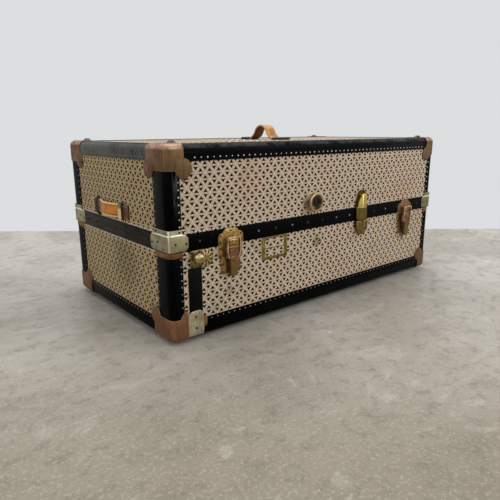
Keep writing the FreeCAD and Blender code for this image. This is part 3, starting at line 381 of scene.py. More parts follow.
def plain(name, light, dark, rough=0.6, scale=18.0, stretch=(1, 1, 1), extra=None):
    g = Graph(name)
    light, dark = tone(*light), tone(*dark)
    coords = g.stretched(g.coordinates(), stretch)
    broad = g.noise(coords, scale, 4.0, 0.6)
    fine = g.noise(coords, scale * 22, 3.0, 0.6)
    colour = g.mix(broad.ramp(0.35, 0.68), light, dark)
    colour = g.mix(fine.ramp(0.55, 0.8) * 0.35, colour, deeper(dark, 0.5))
    if extra:
        colour = extra(g, g.coordinates(), colour)
    return g.finish(Base_Color=colour, Roughness=rough + (fine - 0.5) * 0.2,
                    Normal=g.bump(fine + broad * 0.5, 0.15, 0.0008))


def striped(g, coords, colour):
    # Faint stripes of the lining paper, 14 mm apart
    x, y, z = g.axes(coords)
    line = (((x + y + z) * (1000 / 14.0)).math("FRACT") - 0.5).abs()
    colour = g.mix(line.ramp(0.12, 0.06) * 0.45, colour, tone(96, 66, 44))
    return g.mix((line - 0.3).abs().ramp(0.05, 0.02) * 0.35, colour, tone(196, 176, 140))


def rubbed(g, coords, colour):
    # A fine grain and pale rubbed patches
    grain = g.noise(g.stretched(coords, (1, 0.04, 1)), 160, 4.0, 0.7)
    colour = g.mix(grain.ramp(0.5, 0.7) * 0.4, colour, tone(60, 38, 28))
    return g.mix(g.noise(coords, 70, 4.0, 0.7).ramp(0.6, 0.72) * 0.35, colour, tone(150, 112, 82))


def capWearAndHighlight(g, coords, colour, height, roughness):
    # Copper shows on the low caps and on the tops, where the pink is partly rubbed copper and partly painted
    # highlight; olive tarnish elsewhere, and a pale painted highlight on the crown
    x, _, z = g.axes(coords)
    _, ny, nz = g.facing()
    patches = g.noise(coords, 45, 4.0, 0.65)
    streak = g.noise(g.stretched(coords, (1, 1, 0.06)), 420, 2.0)
    low = z.ramp(0.1, 0.08) * x.ramp(0.3, 0.1)
    side = (1 - low) * patches.ramp(0.3, 0.55)
    # The crown is a painted highlight, also made smoother
    crown = nz.ramp(0.15, 0.5) * (1 - nz.ramp(0.7, 0.95)) * patches.ramp(0.4, 0.55)
    for strength, over in ((side * (-ny).ramp(0.2, 0.9) * 0.8, tone(98, 80, 48)),
                           (nz.ramp(0.1, 0.6) * patches.ramp(0.35, 0.6) * 0.7, tone(160, 124, 104)),
                           (low * patches.ramp(0.25, 0.6) * 0.75, tone(128, 84, 58)),
                           (streak.ramp(0.56, 0.68) * 0.5, tone(60, 44, 30)),
                           (crown * 0.4, tone(222, 182, 158))):
        colour = g.mix(strength, colour, over)
    return colour, height + streak * 0.4, roughness + 0.04 - crown * 0.15


# Heights of the folds of the hasp and the clamps over the parting, where bright lines of painted highlight
# lie
folds = {"hasp": 39.8, "clamp": 40.0}


def haspToneAndHighlight(g, coords, colour, height, roughness):
    # Bright above the seam, dull and darker below it, with a painted highlight line along the seam
    z = g.axes(coords)[2] * 1000
    seam = trunk["parting"] + folds["hasp"] + shift.z
    below = z.ramp(seam + 0.6, seam - 0.6)
    colour = g.mix(below * 0.85, colour, tone(84, 68, 34))
    # Painted highlight along the seam
    colour = g.mix((z - seam).abs().ramp(1.4, 0.5) * 0.8, colour, tone(236, 224, 188))
    return colour, height, roughness + below * 0.12


def clampLines(g, coords, colour, height, roughness):
    # Painted highlight lines at the corner and under the flange, olive towards the right end, and the dull
    # lower rim
    x, _, z = g.axes(coords)
    fold = (z * 1000 - (trunk["parting"] + folds["clamp"] + shift.z)).abs().ramp(2.4, 0.9)
    colour = g.mix(x.ramp(0.2, 0.4) * 0.5, colour, tone(110, 108, 66))
    # Painted highlights under the flange and on the corner's rounding
    colour = g.mix((fold + g.edges(0.8, 0.73)).math("MINIMUM", 1.0) * 0.9, colour, tone(250, 246, 226))
    colour = g.mix((z * 1000).ramp(226.5, 224.0) * 0.6, colour, tone(90, 86, 62))
    return colour, height + fold, roughness - fold * 0.1


def leverWear(g, coords, colour, height, roughness):
    # The copper turns to brass towards the lever's foot
    z = g.axes(coords)[2] * 1000
    low = (z + g.noise(coords, 110, 3.0, 0.6) * 24).ramp(200, 180)
    return g.mix(low * 0.75, colour, tone(112, 96, 50)), height, roughness


def latchWear(g, coords, colour, height, roughness):
    # Reddish low down and on the right hand latch
    x, _, z = g.axes(coords)
    low = (z * 1000 + g.noise(coords, 70, 3.0, 0.6) * 50).ramp(205, 175)
    red = (x.ramp(0.1, 0.2) * 0.7).math("MAXIMUM", low * 0.5)
    return g.mix(red, colour, tone(126, 88, 68)), height, roughness


def bandNailLightAndShade(g, coords, colour, height, roughness):
    # Some heads on the front are painted bright as highlights, those on the left end are painted black as
    # shade
    front = g.axes(coords)[0].ramp(-0.515, -0.505)
    colour = g.mix((1 - front) * 0.9, colour, tone(6, 6, 6))
    bright = g.noise(coords, 17, 1.0).ramp(0.5, 0.56) * front
    return g.mix(bright, colour, tone(108, 114, 124)), height, roughness


def plateWear(g, coords, colour, height, roughness):
    # The sheet behind the hasp is brass, its rim is dark
    face = shift.y - trunk["depth"] / 2
    sheet = (g.axes(coords)[1] * 1000).ramp(face - 1.6, face - 1.0)
    return g.mix(sheet * 0.8, colour, tone(128, 108, 58)), height, roughness


def bracketHighlight(g, coords, colour, height, roughness):
    # The near loop's outer face gets a pale painted highlight, strongest low down; the far one stays dark
    _, y, z = g.axes(coords)
    near = (y * 1000).ramp(shift.y + 22, shift.y + 10)
    low = (z * 1000).ramp(shift.z + 296, shift.z + 286)
    pale = near * g.facing()[0].ramp(-0.4, -0.8) * (low * 0.7 + 0.25)
    return g.mix(pale, colour, tone(226, 206, 158)), height, roughness


endStrap = {"middle": 283.0, "groove": 11.6, "tail": (222, 216), "loops": (369, 232)}


def handleEdgesAndShade(g, coords, colour):
    # Pale edges and dark along the stitches; painted shade on the tail and beside the loops
    _, y, z = g.axes(coords)
    v = y * 1000 - shift.y + trunk["depth"] / 2
    rim = (z * 1000 - shift.z - endStrap["middle"]).abs()
    first, second = ((v - loop).abs() for loop in endStrap["loops"])
    for strength, over in (((rim - endStrap["groove"]).abs().ramp(1.6, 0.6) * 0.6, tone(110, 62, 24)),
                           (rim.ramp(13.6, 15.0) * 0.8, tone(240, 214, 160)),
                           # Painted shade on the tail and beside the loops
                           (v.ramp(*endStrap["tail"]) * 0.9, tone(84, 56, 50)),
                           (first.ramp(20, 12) * 0.6, tone(120, 72, 38)),
                           (second.ramp(12, 6) * 0.5, tone(110, 66, 34))):
        colour = g.mix(strength, colour, over)
    return colour


def topHandleShadeAndEdge(g, coords, colour):
    # Painted shade where it faces down or into the arch and on the far part of its left faces, pale on its
    # left edge
    nx, ny, nz = g.facing()
    v = g.axes(coords)[1] * 1000 - shift.y + trunk["depth"] / 2
    inward = ((v - trunk["depth"] / 2) * ny * -0.03 - nz).ramp(-0.05, 0.3)
    colour = g.mix(inward * 0.9, colour, tone(84, 46, 20))
    colour = g.mix((-nx).ramp(0.6, 0.9) * v.ramp(262, 290) * 0.8, colour, tone(104, 62, 32))
    return g.mix((-nx).ramp(0.5, 0.9) * 0.25, colour, tone(240, 205, 150))


def petals(centre, count):
    # Raised petals round the rosette, with a sunk ring across them, both only as bumps: the petals are
    # painted pale as highlights, the grooves between them and the ring darker
    def relief(g, coords, colour, height, roughness):
        x, _, z = g.axes(coords)
        x, z = x - centre.x, z - centre.z
        wave = (z.math("ARCTAN2", x) * count).math("COSINE")
        radius = (x * x + z * z).math("SQRT") * 1000
        leaf = (wave * 0.5 + 0.5).ramp(0.1, 0.8) * radius.ramp(8.5, 10.5) * radius.ramp(21.5, 19.5)
        ring = (radius - 15.5).abs().ramp(1.6, 0.6)
        colour = g.mix(leaf * 0.6, colour, tone(226, 206, 150))
        colour = g.mix((1 - leaf) * radius.ramp(9, 11) * 0.55, colour, tone(58, 44, 20))
        colour = g.mix(ring * 0.5, colour, tone(60, 46, 22))
        return colour, height + leaf * 3 - ring * 2, roughness
    return relief


rosette = {"u": 95.0, "drop": 22.4, "petals": 10}
rosetteCentre = place(rosette["u"] - trunk["length"] / 2, 0, trunk["parting"] - rosette["drop"])

finishes = {
    "covering": makeCovering(),
    "binding": makeBinding(),
    "cap": metal("capMetal", (124, 88, 58), (88, 62, 38), (156, 116, 88), rough=0.48, scale=24.0, shine=0.6,
                 extra=capWearAndHighlight),
    "glide": metal("glideMetal", (62, 56, 50), (34, 31, 28), (110, 102, 92), rough=0.5, scale=60.0,
                   shine=0.7),
    "nickel": metal("nickel", (164, 156, 120), (114, 106, 78), (208, 200, 168), rough=0.42, scale=26.0,
                    shine=0.8, extra=clampLines),
    "foot": metal("footNickel", (184, 174, 144), (136, 126, 98), (216, 208, 184), rough=0.42, scale=40.0,
                  shine=0.8),
    "latch": hardware("latchBrass", (176, 142, 84), (96, 70, 34), (226, 204, 150), extra=latchWear),
    "hinge": hardware("hingeBrass", (160, 132, 80), (96, 72, 38), (206, 184, 132)),
    "lever": hardware("latchCopper", (140, 96, 70), (80, 54, 36), (196, 150, 116), rough=0.4,
                      extra=leverWear),
    "bail": hardware("latchBail", (206, 184, 142), (130, 102, 64), (236, 222, 190), rough=0.34, grime=0.4),
    "hasp": metal("haspBrass", (214, 186, 100), (160, 130, 56), (240, 222, 150), rough=0.24, grime=0.3,
                  extra=haspToneAndHighlight),
    "lock": hardware("lockBrass", (124, 102, 54), (66, 52, 26), (170, 144, 84), rough=0.4),
    "frameDark": hardware("darkBrass", (70, 64, 34), (40, 35, 18), (120, 110, 64), rough=0.42,
                          extra=plateWear),
    "label": hardware("labelBrass", (134, 114, 58), (76, 58, 28), (180, 158, 98), rough=0.42),
    "knobPlate": hardware("knobBrass", (138, 120, 74), (80, 64, 34), (196, 180, 134), rough=0.42,
                          grime=0.7),
    "ball": hardware("ballMetal", (164, 148, 100), (104, 88, 54), (214, 202, 158), rough=0.3, grime=0.4),
    "ring": hardware("ringBronze", (166, 138, 102), (104, 78, 50), (232, 214, 178), rough=0.32, grime=0.4),
    "rosette": hardware("rosetteBrass", (146, 124, 68), (90, 70, 34), (214, 194, 136),
                        extra=petals(rosetteCentre, rosette["petals"])),
    "dark": metal("darkMetal", (34, 30, 27), (16, 14, 13), (84, 74, 62), rough=0.5, scale=40.0, shine=0.4),
    "bandNail": metal("bandNail", (40, 38, 36), (20, 19, 18), (70, 68, 64), rough=0.45, scale=40.0, grime=0.4,
                      shine=0.4, extra=bandNailLightAndShade),
    "steel": metal("steel", (128, 126, 122), (84, 80, 74), (160, 156, 150), rough=0.4),
    "nail": metal("nailHead", (222, 218, 206), (160, 152, 134), (236, 232, 224), rough=0.4, scale=60.0,
                  grime=0.4, shine=0.35),
    # Near white and hardly metal: these nail heads are painted bright as highlights
    "nailHighlight": metal("nailHighlight", (246, 242, 230), (200, 194, 176), (250, 248, 240), rough=0.4,
                        scale=60.0, grime=0.3, shine=0.15),
    "nailPale": metal("nailPale", (160, 154, 140), (100, 94, 80), (196, 190, 178), rough=0.45, scale=60.0,
                      shine=0.4),
    # A darker copy of the nail finish for the end faces: painted shade
    "nailShaded": metal("nailShaded", (104, 94, 76), (56, 48, 38), (160, 150, 128), rough=0.45, scale=60.0,
                      shine=0.4),
    "latchNail": metal("latchNail", (40, 27, 16), (18, 12, 8), (110, 84, 50), rough=0.45, scale=60.0,
                       grime=0.6, shine=0.3),
    "bracket": metal("loopMetal", (46, 38, 32), (22, 18, 16), (104, 88, 68), rough=0.42, scale=60.0,
                     shine=0.6, extra=bracketHighlight),
    "strap": leather("blackStrap", (9, 10, 13), (5, 6, 8), rough=0.42, shine=0.07),
    "handle": leather("tanLeather", (232, 154, 62), (190, 114, 40), rough=0.44, extra=handleEdgesAndShade),
    "topHandle": leather("topLeather", (214, 166, 104), (156, 104, 56), rough=0.44, extra=topHandleShadeAndEdge),
    "brown": leather("brownLeather", (134, 96, 56), (84, 58, 34)),
    "thread": plain("waxedThread", (226, 204, 160), (186, 160, 112), rough=0.7, scale=60.0),
    "lining": plain("lining", (154, 132, 98), (134, 112, 80), rough=0.75, extra=striped),
    "ply": plain("plywood", (176, 138, 92), (142, 104, 64), rough=0.65, scale=14.0, stretch=(0.1, 1, 1)),
    "board": plain("drawerBoard", (100, 68, 46), (78, 52, 36), rough=0.5, scale=9.0, extra=rubbed),
    "wood": plain("hangerWood", (190, 144, 88), (146, 100, 54), rough=0.45, scale=20.0, stretch=(1, 0.08, 1)),
}
print("finishes", len(finishes))

nodeFinish = {
    "lower_shell": "ply", "upper_shell": "ply", "lower_cover": "covering", "upper_cover": "covering",
    "lower_lining": "lining", "upper_lining": "lining", "lower_bindings": "binding",
    "upper_bindings": "binding", "lower_corner_caps": "cap", "upper_corner_caps": "cap",
    "valance_band": "binding",
    "valance_corner_clamps": "nickel", "lower_rim": "steel", "lower_edge_corners": "brown",
    "top_glides": "glide", "bottom_glides": "glide", "corner_strap": "strap", "strap_foot_plate": "foot",
    "strap_foot_backing": "brown", "knob_plate": "knobPlate", "ball_knob": "ball", "round_rosette": "rosette",
    "label_frame": "label", "latch_pivot_pins": "steel", "lock_hasp": "hasp", "hasp_plate": "frameDark",
    # The ring's barrel takes the dark finish as painted shade inside the ring
    "hasp_pin": "steel", "lock_body": "lock", "ring_socket": "ring", "ring_barrel": "dark",
    "hinge_lower_leaves": "hinge", "hinge_upper_leaves": "hinge", "hinge_pins": "steel",
    "end_handle_strap": "handle", "end_handle_brackets": "bracket", "top_handle_strap": "topHandle",
    "top_handle_plates": "dark", "drawer_dividers": "board", "hanging_track": "steel",
    "hanging_rail": "steel", "garment_hangers": "wood", "hanger_hooks": "steel",
}
drawers = range(1, 5)
for side in ("left", "right"):
    for piece, finish in (("base", "latch"), ("lever", "lever"), ("bail", "bail"), ("keeper", "latch")):
        nodeFinish["latch_%s_%s" % (side, piece)] = finish
for number in drawers:
    nodeFinish["drawer_%d_box" % number] = "board"
    nodeFinish["drawer_%d_pull" % number] = "brown"
for name, node in nodes.items():
    node.data.materials.clear()
    node.data.materials.append(finishes[nodeFinish[name]])

nodeBody = {name: node["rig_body"] for name, node in nodes.items()}
nodeSlot = {row["node"]: row["material_slot"] for row in frame["record"]["subparts"]}


def settle(piece, body, slot=None, *stoodFor):
    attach(piece, body)
    if stoodFor:
        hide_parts(*stoodFor)
    return piece


# Bevels of the pieces whose edges are rounded, in millimetres
rounding = {
    "lower_bindings": 0.5, "upper_bindings": 0.5, "valance_band": 0.5, "valance_corner_clamps": 0.5,
    "lower_corner_caps": 0.6, "upper_corner_caps": 0.6, "lower_edge_corners": 0.5, "corner_strap": 0.5,
    "strap_foot_plate": 0.5, "strap_foot_backing": 0.3, "knob_plate": 0.9, "label_frame": 0.5,
    "lock_body": 0.6, "lock_hasp": 0.6, "hasp_plate": 0.6, "ring_socket": 0.6, "end_handle_strap": 0.9,
    "end_handle_brackets": 0.5, "top_handle_strap": 0.9, "top_handle_plates": 0.5, "round_rosette": 0.4,
}
for side in ("left", "right"):
    rounding.update({"latch_%s_base" % side: 0.45, "latch_%s_lever" % side: 0.7, "latch_%s_bail" % side: 1.3,
                     "latch_%s_keeper" % side: 0.45})
softening = {"segments": 2, "bentOver": 28.0, "sharpOver": 40.0, "flatUnder": 0.6}  # angles in degrees
weld = {"before": 2e-6, "after": 1e-6}


def refined(name, bevel):
    # A copy of a CAD piece with its edges rounded, which stands for it
    bm = bmesh.new()
    bm.from_mesh(nodes[name].data)
    bmesh.ops.remove_doubles(bm, verts=bm.verts, dist=weld["before"])
    bmesh.ops.dissolve_limit(bm, angle_limit=math.radians(softening["flatUnder"]), verts=bm.verts,
                             edges=bm.edges)
    limit = math.radians(softening["bentOver"])
    edges = [e for e in bm.edges if len(e.link_faces) == 2 and e.calc_face_angle() > limit]
    bmesh.ops.bevel(bm, geom=edges, offset=bevel / 1000, offset_type="OFFSET", segments=softening["segments"],
                    profile=0.5, affect="EDGES", clamp_overlap=True)
    bmesh.ops.remove_doubles(bm, verts=bm.verts, dist=weld["after"])
    bmesh.ops.recalc_face_normals(bm, faces=bm.faces)
    mesh = bpy.data.meshes.new(name + "_shown")
    bm.to_mesh(mesh)
    bm.free()
    mesh.materials.append(finishes[nodeFinish[name]])
    piece = bpy.data.objects.new(name + "_shown", mesh)
    scene.collection.objects.link(piece)
    mesh.shade_smooth()
    mesh.set_sharp_from_angle(angle=math.radians(softening["sharpOver"]))
    return settle(piece, nodeBody[name], nodeSlot[name], name)


for name, bevel in rounding.items():
    refined(name, bevel)
print("refined", len(rounding))


# Nails, screws and stitches: small heads set on points by one node tree
def scatterTree():
    tree = bpy.data.node_groups.new("heads", "GeometryNodeTree")
    face = tree.interface
    face.new_socket("Geometry", in_out="INPUT", socket_type="NodeSocketGeometry")
    for name, kind, value in (("Segments", "NodeSocketInt", 8), ("Rings", "NodeSocketInt", 4),
                              ("Jitter", "NodeSocketFloat", 0.1), ("Seed", "NodeSocketInt", 1)):
        face.new_socket(name, in_out="INPUT", socket_type=kind).default_value = value
    face.new_socket("Material", in_out="INPUT", socket_type="NodeSocketMaterial")
    face.new_socket("Geometry", in_out="OUTPUT", socket_type="NodeSocketGeometry")

    def add(kind, settings=None, *values, **named):
        node = tree.nodes.new(kind)
        for key, value in (settings or {}).items():
            setattr(node, key, value)
        for target, value in [*zip(node.inputs, values), *((node.inputs[k], v) for k, v in named.items())]:
            if isinstance(value, bpy.types.NodeSocket):
                tree.links.new(value, target)
            else:
                target.default_value = value
        return node

    def attribute(name):
        node = add("GeometryNodeInputNamedAttribute", {"data_type": "FLOAT_VECTOR"}, Name=name)
        return node.outputs["Attribute"]

    inlet = tree.nodes.new("NodeGroupInput").outputs
    ball = add("GeometryNodeMeshUVSphere", Segments=inlet["Segments"], Rings=inlet["Rings"], Radius=1.0)
    smooth = add("GeometryNodeSetShadeSmooth", Geometry=ball.outputs["Mesh"])
    upright = add("FunctionNodeAlignRotationToVector", {"axis": "Z"}, Vector=attribute("facing"))
    turned = add("FunctionNodeAlignRotationToVector", {"axis": "X", "pivot_axis": "Z"},
                 Rotation=upright.outputs[0], Vector=attribute("along"))
    # Each head is between 1 - Jitter and 1 of its size
    least = add("ShaderNodeMath", {"operation": "SUBTRACT"}, 1.0, inlet["Jitter"])
    drift = add("FunctionNodeRandomValue", {"data_type": "FLOAT"}, Seed=inlet["Seed"])
    tree.links.new(least.outputs[0], drift.inputs[2])
    drift.inputs[3].default_value = 1.0
    size = add("ShaderNodeVectorMath", {"operation": "SCALE"}, attribute("size"), Scale=drift.outputs[1])
    heads = add("GeometryNodeInstanceOnPoints", Points=inlet["Geometry"], Instance=smooth.outputs[0],
                Rotation=turned.outputs[0], Scale=size.outputs[0])
    solid = add("GeometryNodeRealizeInstances", Geometry=heads.outputs[0])
    dressed = add("GeometryNodeSetMaterial", Geometry=solid.outputs[0], Material=inlet["Material"])
    tree.links.new(dressed.outputs[0], tree.nodes.new("NodeGroupOutput").inputs[0])
    return tree


headTree = scatterTree()
seeds = iter(range(1, 200))
finer = {"segments": 10, "rings": 6}
anyWay = (0.31, 0.52, 0.79)  # for heads that are round, and lie along nothing


def spread(name, body, slot, finish, points, size, jitter=0.12, segments=8, rings=4):
    # points are (place, facing) or (place, facing, along); size is the head's half axes in millimetres
    mesh = bpy.data.meshes.new(name + "_points")
    mesh.from_pydata([p[0] for p in points], [], [])
    for label, values in (("facing", [p[1] for p in points]),
                          ("along", [p[2] if len(p) > 2 else anyWay for p in points]),
                          ("size", [[v / 1000 for v in size]] * len(points))):
        data = mesh.attributes.new(label, "FLOAT_VECTOR", "POINT").data
        data.foreach_set("vector", [c for value in values for c in value])
    holder = bpy.data.objects.new(name + "_points", mesh)
    scene.collection.objects.link(holder)
    modifier = holder.modifiers.new("heads", "NODES")
    modifier.node_group = headTree
    wanted = {"Segments": segments, "Rings": rings, "Jitter": jitter, "Seed": next(seeds),
              "Material": finishes[finish]}
    for item in headTree.interface.items_tree:
        if item.in_out == "INPUT" and item.name in wanted:
            modifier[item.identifier] = wanted[item.name]
    graph = bpy.context.evaluated_depsgraph_get()
    made = bpy.data.meshes.new_from_object(holder.evaluated_get(graph))
    bpy.data.objects.remove(holder)
    piece = bpy.data.objects.new(name, made)
    scene.collection.objects.link(piece)
    return settle(piece, body, slot)


facings = {onFront: (0, -1, 0), onBack: (0, 1, 0), onLeft: (-1, 0, 0), onRight: (1, 0, 0), onTop: (0, 0, 1),
           onBottom: (0, 0, -1)}


def steps(start, end, pitch):
    count = max(1, round(abs(end - start) / pitch))
    return [start + (end - start) * i / count for i in range(count + 1)]


def evenly(reach, inset, pitch):
    # Steps between two ends that lie the same way in
    return steps(inset, reach - inset, pitch)


def wallHeads(face, across, ups, out, skip=()):
    # Heads on a wall, left out where one of the boxes (a0, a1, z0, z1) lies
    return [(face(a, out, z), facings[face]) for a in across for z in ups
            if not any(a0 < a < a1 and z0 < z < z1 for a0, a1, z0, z1 in skip)]


length, depth = trunk["length"], trunk["depth"]
nails = {"pitch": 17.0, "out": 1.7, "small": (2.3, 2.3, 1.3), "low": (2.0, 2.0, 1.1), "lowJitter": 0.3,
         "lowLevel": 41.0, "highLevel": 421.5, "lowLegs": (84, 198), "highLegs": (272, 370),
         "frontLeg": 29.0, "endLeg": 54.0, "frontInset": 74, "endInset": 104,
         "flat": 34.0, "flatInset": 60, "flatEndInset": 98}
edgeNails = {"pitch": 10.0, "out": 0.4, "size": (2.2, 2.2, 1.3), "under": 210.6, "over": 257.2,
             "endInset": 70, "frontInset": 42}
# Boxes of what stands on the walls: latches, lock, ring, label, knob plate and strap foot, then the loops
frontFittings = ((126, 210, 138, 258), (846, 930, 138, 258), (622, 688, 160, 312), (402, 472, 250, 326),
                 (44, 114, 168, 216), (36, 100, 0, 80))
endFittings = ((209, 236, 250, 316), (359, 386, 250, 316))


def longNails(lower, level, legs):
    # Front, back and the flat face of one half
    pitch, out = nails["pitch"], nails["out"]
    found = []
    for face, fittings in ((onFront, frontFittings), (onBack, ())):
        found += wallHeads(face, evenly(length, nails["frontInset"], pitch), [level], out, fittings)
        found += wallHeads(face, [nails["frontLeg"], length - nails["frontLeg"]], legs, out)
    flat = onBottom if lower else onTop
    for v in (nails["flat"], depth - nails["flat"]):
        found += [(flat(u, v, out), facings[flat]) for u in evenly(length, nails["flatInset"], pitch)]
    for u in (nails["flat"], length - nails["flat"]):
        found += [(flat(u, v, out), facings[flat]) for v in evenly(depth, nails["flatEndInset"], pitch)]
    return found


def besideBand(lower):
    # Small nails on the covering, under and over the band, painted bright as highlights
    edge = edgeNails["under" if lower else "over"]
    walls = [(onLeft, depth, "endInset", endFittings), (onRight, depth, "endInset", ())]
    if not lower:
        walls += [(onFront, length, "frontInset", frontFittings), (onBack, length, "frontInset", ())]
    found = []
    for face, reach, inset, fittings in walls:
        across = evenly(reach, edgeNails[inset], edgeNails["pitch"])
        found += wallHeads(face, across, [edge], edgeNails["out"], fittings)
    return found


def endNails(level, legs):
    found = []
    for face in (onLeft, onRight):
        found += wallHeads(face, evenly(depth, nails["endInset"], nails["pitch"]), [level], nails["out"])
        found += wallHeads(face, [nails["endLeg"], depth - nails["endLeg"]], legs, nails["out"])
    return found


for half, lower in (("lower", True), ("upper", False)):
    level = nails["lowLevel" if lower else "highLevel"]
    legs = steps(*nails["lowLegs" if lower else "highLegs"], nails["pitch"])
    spread(half + "Nails", half + "_half", "nickel_steel", "nailPale" if lower else "nail",
           longNails(lower, level, legs), nails["low" if lower else "small"], nails["lowJitter"])
    spread(half + "EdgeNails", half + "_half", "nickel_steel", "nailHighlight", besideBand(lower),
           edgeNails["size"])
    spread(half + "EndNails", half + "_half", "nickel_steel", "nailShaded", endNails(level, legs),
           nails["small"])

bandNails = {"pitch": 57.0, "out": 2.1, "z": 234.0, "frontInset": 80, "endInset": 102,
             "size": (3.4, 3.4, 1.6)}
points = []
for face, reach, inset, fittings in (
        (onFront, length, "frontInset", frontFittings), (onBack, length, "frontInset", ()),
        (onLeft, depth, "endInset", ()), (onRight, depth, "endInset", ())):
    points += wallHeads(face, evenly(reach, bandNails[inset], bandNails["pitch"]), [bandNails["z"]],
                        bandNails["out"], fittings)
spread("bandNails", "upper_half", "dark_metal", "bandNail", points, bandNails["size"], **finer)

clampScrews = {"front": ((16, 235), (44, 233), (27, 261)), "out": 3.3, "size": (3.2, 3.2, 1.2),
               "end": ((48, 236), (74, 232), (24, 222), (54, 261))}
points = []
for key, reach, faces in (("front", length, (onFront, onBack)), ("end", depth, (onLeft, onRight))):
    for a, z in clampScrews[key]:
        for face in faces:
            points += wallHeads(face, [a, reach - a], [z], clampScrews["out"])
spread("clampScrews", "upper_half", "dark_metal", "dark", points, clampScrews["size"], **finer)

latchNails = {"latches": (168.0, 888.0), "size": (3.1, 3.1, 1.0), "keeperOut": 3.6, "baseOut": 1.6,
              "keeper": ((0, 247.5), (-30, 237), (30, 237), (-32, 222), (32, 222)),
              "base": ((-31, 206), (31, 206), (-31, 188), (31, 188), (-25, 166), (25, 166), (-25, 148),
                       (25, 148))}
for piece, body in (("keeper", "upper_half"), ("base", "lower_half")):
    points = [(onFront(u + a, latchNails[piece + "Out"], z), facings[onFront])
              for u in latchNails["latches"] for a, z in latchNails[piece]]
    spread(piece + "Nails", body, "latch_brass", "latchNail", points, latchNails["size"], **finer)

plateNails = {"foot": ((63.5, 26.5), (63.5, 54)), "knob": (67.5, 193), "knobReach": (10.5, 16), "out": 3.1,
              "size": (3.5, 3.5, 1.1)}
spots = list(plateNails["foot"])
for a in (-1, 1):
    spots += [(plateNails["knob"][0] + a * plateNails["knobReach"][0],
               plateNails["knob"][1] + b * plateNails["knobReach"][1]) for b in (-1, 1)]
spread("plateNails", "lower_half", "dark_metal", "dark",
       [(onFront(u, plateNails["out"], z), facings[onFront]) for u, z in spots], plateNails["size"], **finer)


def islandBoxes(name):
    # Boxes of the separate solids of a node, in the trunk's own millimetres
    bm = bmesh.new()
    bm.from_mesh(nodes[name].data)
    bmesh.ops.remove_doubles(bm, verts=bm.verts, dist=weld["before"])
    left, boxes = set(bm.verts), []
    while left:
        queue, found = [left.pop()], []
        while queue:
            vertex = queue.pop()
            found.append(vertex.co * 1000 - shift)
            for edge in vertex.link_edges:
                other = edge.other_vert(vertex)
                if other in left:
                    left.remove(other)
                    queue.append(other)
        boxes.append([Vector(pick(c[i] for c in found) for i in range(3)) for pick in (min, max)])
    bm.free()
    return sorted(boxes, key=lambda box: tuple(box[0]))


hingeScrews = {"in": 9.0, "out": 3.2, "drop": 6, "size": (3.4, 3.4, 1.0)}
for node, body, share, drop in (("hinge_lower_leaves", "lower_half", 0.3, -hingeScrews["drop"]),
                                ("hinge_upper_leaves", "upper_half", 0.7, hingeScrews["drop"])):
    points = []
    for low, high in islandBoxes(node):
        z = low.z + (high.z - low.z) * share
        spots = ((low.x + hingeScrews["in"], z), ((low.x + high.x) / 2, z + drop),
                 (high.x - hingeScrews["in"], z))
        points += [(onBack(x + length / 2, hingeScrews["out"], up), facings[onBack]) for x, up in spots]
    spread(node + "Screws", body, "latch_brass", "steel", points, hingeScrews["size"], **finer)

tacks = {"in": 7.0, "pitch": 30.0, "out": 0.2, "size": (2.6, 2.6, 1.2)}
for number in drawers:
    node = "drawer_%d_box" % number
    low, high = islandBoxes(node)[0]
    xs = steps(low.x + tacks["in"], high.x - tacks["in"], tacks["pitch"])
    ys = steps(low.y + tacks["in"], high.y - tacks["in"], tacks["pitch"])
    spots = [(x, y) for x in xs for y in (ys[0], ys[-1])]
    spots += [(x, y) for x in (xs[0], xs[-1]) for y in ys[1:-1]]
    points = [(place(x, y, high.z + tacks["out"]), facings[onTop]) for x, y in spots]
    spread("drawer%dTacks" % number, nodeBody[node], "latch_brass", "hinge", points, tacks["size"])

loopHeads = {"levels": (260.5, 305.5), "out": 2.0, "size": (4.2, 4.2, 2.0)}
points = [(onLeft((low.y + high.y) / 2 + depth / 2, loopHeads["out"], z), facings[onLeft])
          for low, high in islandBoxes("end_handle_brackets") for z in loopHeads["levels"]]
spread("bracketHeads", nodeBody["end_handle_brackets"], "dark_metal", "dark", points, loopHeads["size"],
       **finer)

stitch = {"pitch": 6.4, "size": (2.2, 0.6, 0.5), "jitter": 0.15, "segments": 6, "rings": 4, "lift": 0.0002,
          "endRows": (269.0, 297.0), "endSpan": (196, 398), "endRay": 60,
          "topRows": (505.0, 535.0), "topArc": (6, 174, 5.5), "topRay": 200, "archFoot": 440}


def stitches(name, node, rays):
    # Stitches lie on a strap's own faces, found by rays
    source = nodes[node].data
    tree = BVHTree.FromPolygons([v.co.copy() for v in source.vertices],
                                [list(f.vertices) for f in source.polygons])
    found = []
    for start, aim, along in rays:
        spot, normal, *_ = tree.ray_cast(start, aim)
        if spot is not None:
            along = Vector(along)
            found.append((spot + normal * stitch["lift"], normal,
                          (along - normal * along.dot(normal)).normalized()))
    spread(name, nodeBody[node], nodeSlot[node], "thread", found, stitch["size"], stitch["jitter"],
           stitch["segments"], stitch["rings"])


rays = [(onLeft(v, stitch["endRay"], z), (1, 0, 0), (0, 1, 0))
        for z in stitch["endRows"] for v in steps(*stitch["endSpan"], stitch["pitch"])]
stitches("endStitches", "end_handle_strap", rays)
rays = []
for u in stitch["topRows"]:
    for angle in steps(*stitch["topArc"]):
        run, rise = math.cos(math.radians(angle)), math.sin(math.radians(angle))
        start = place(u - length / 2, stitch["topRay"] * run, stitch["archFoot"] + stitch["topRay"] * rise)
        rays.append((start, (0, -run, -rise), (0, -rise, run)))
stitches("topStitches", "top_handle_strap", rays)
print("heads set")

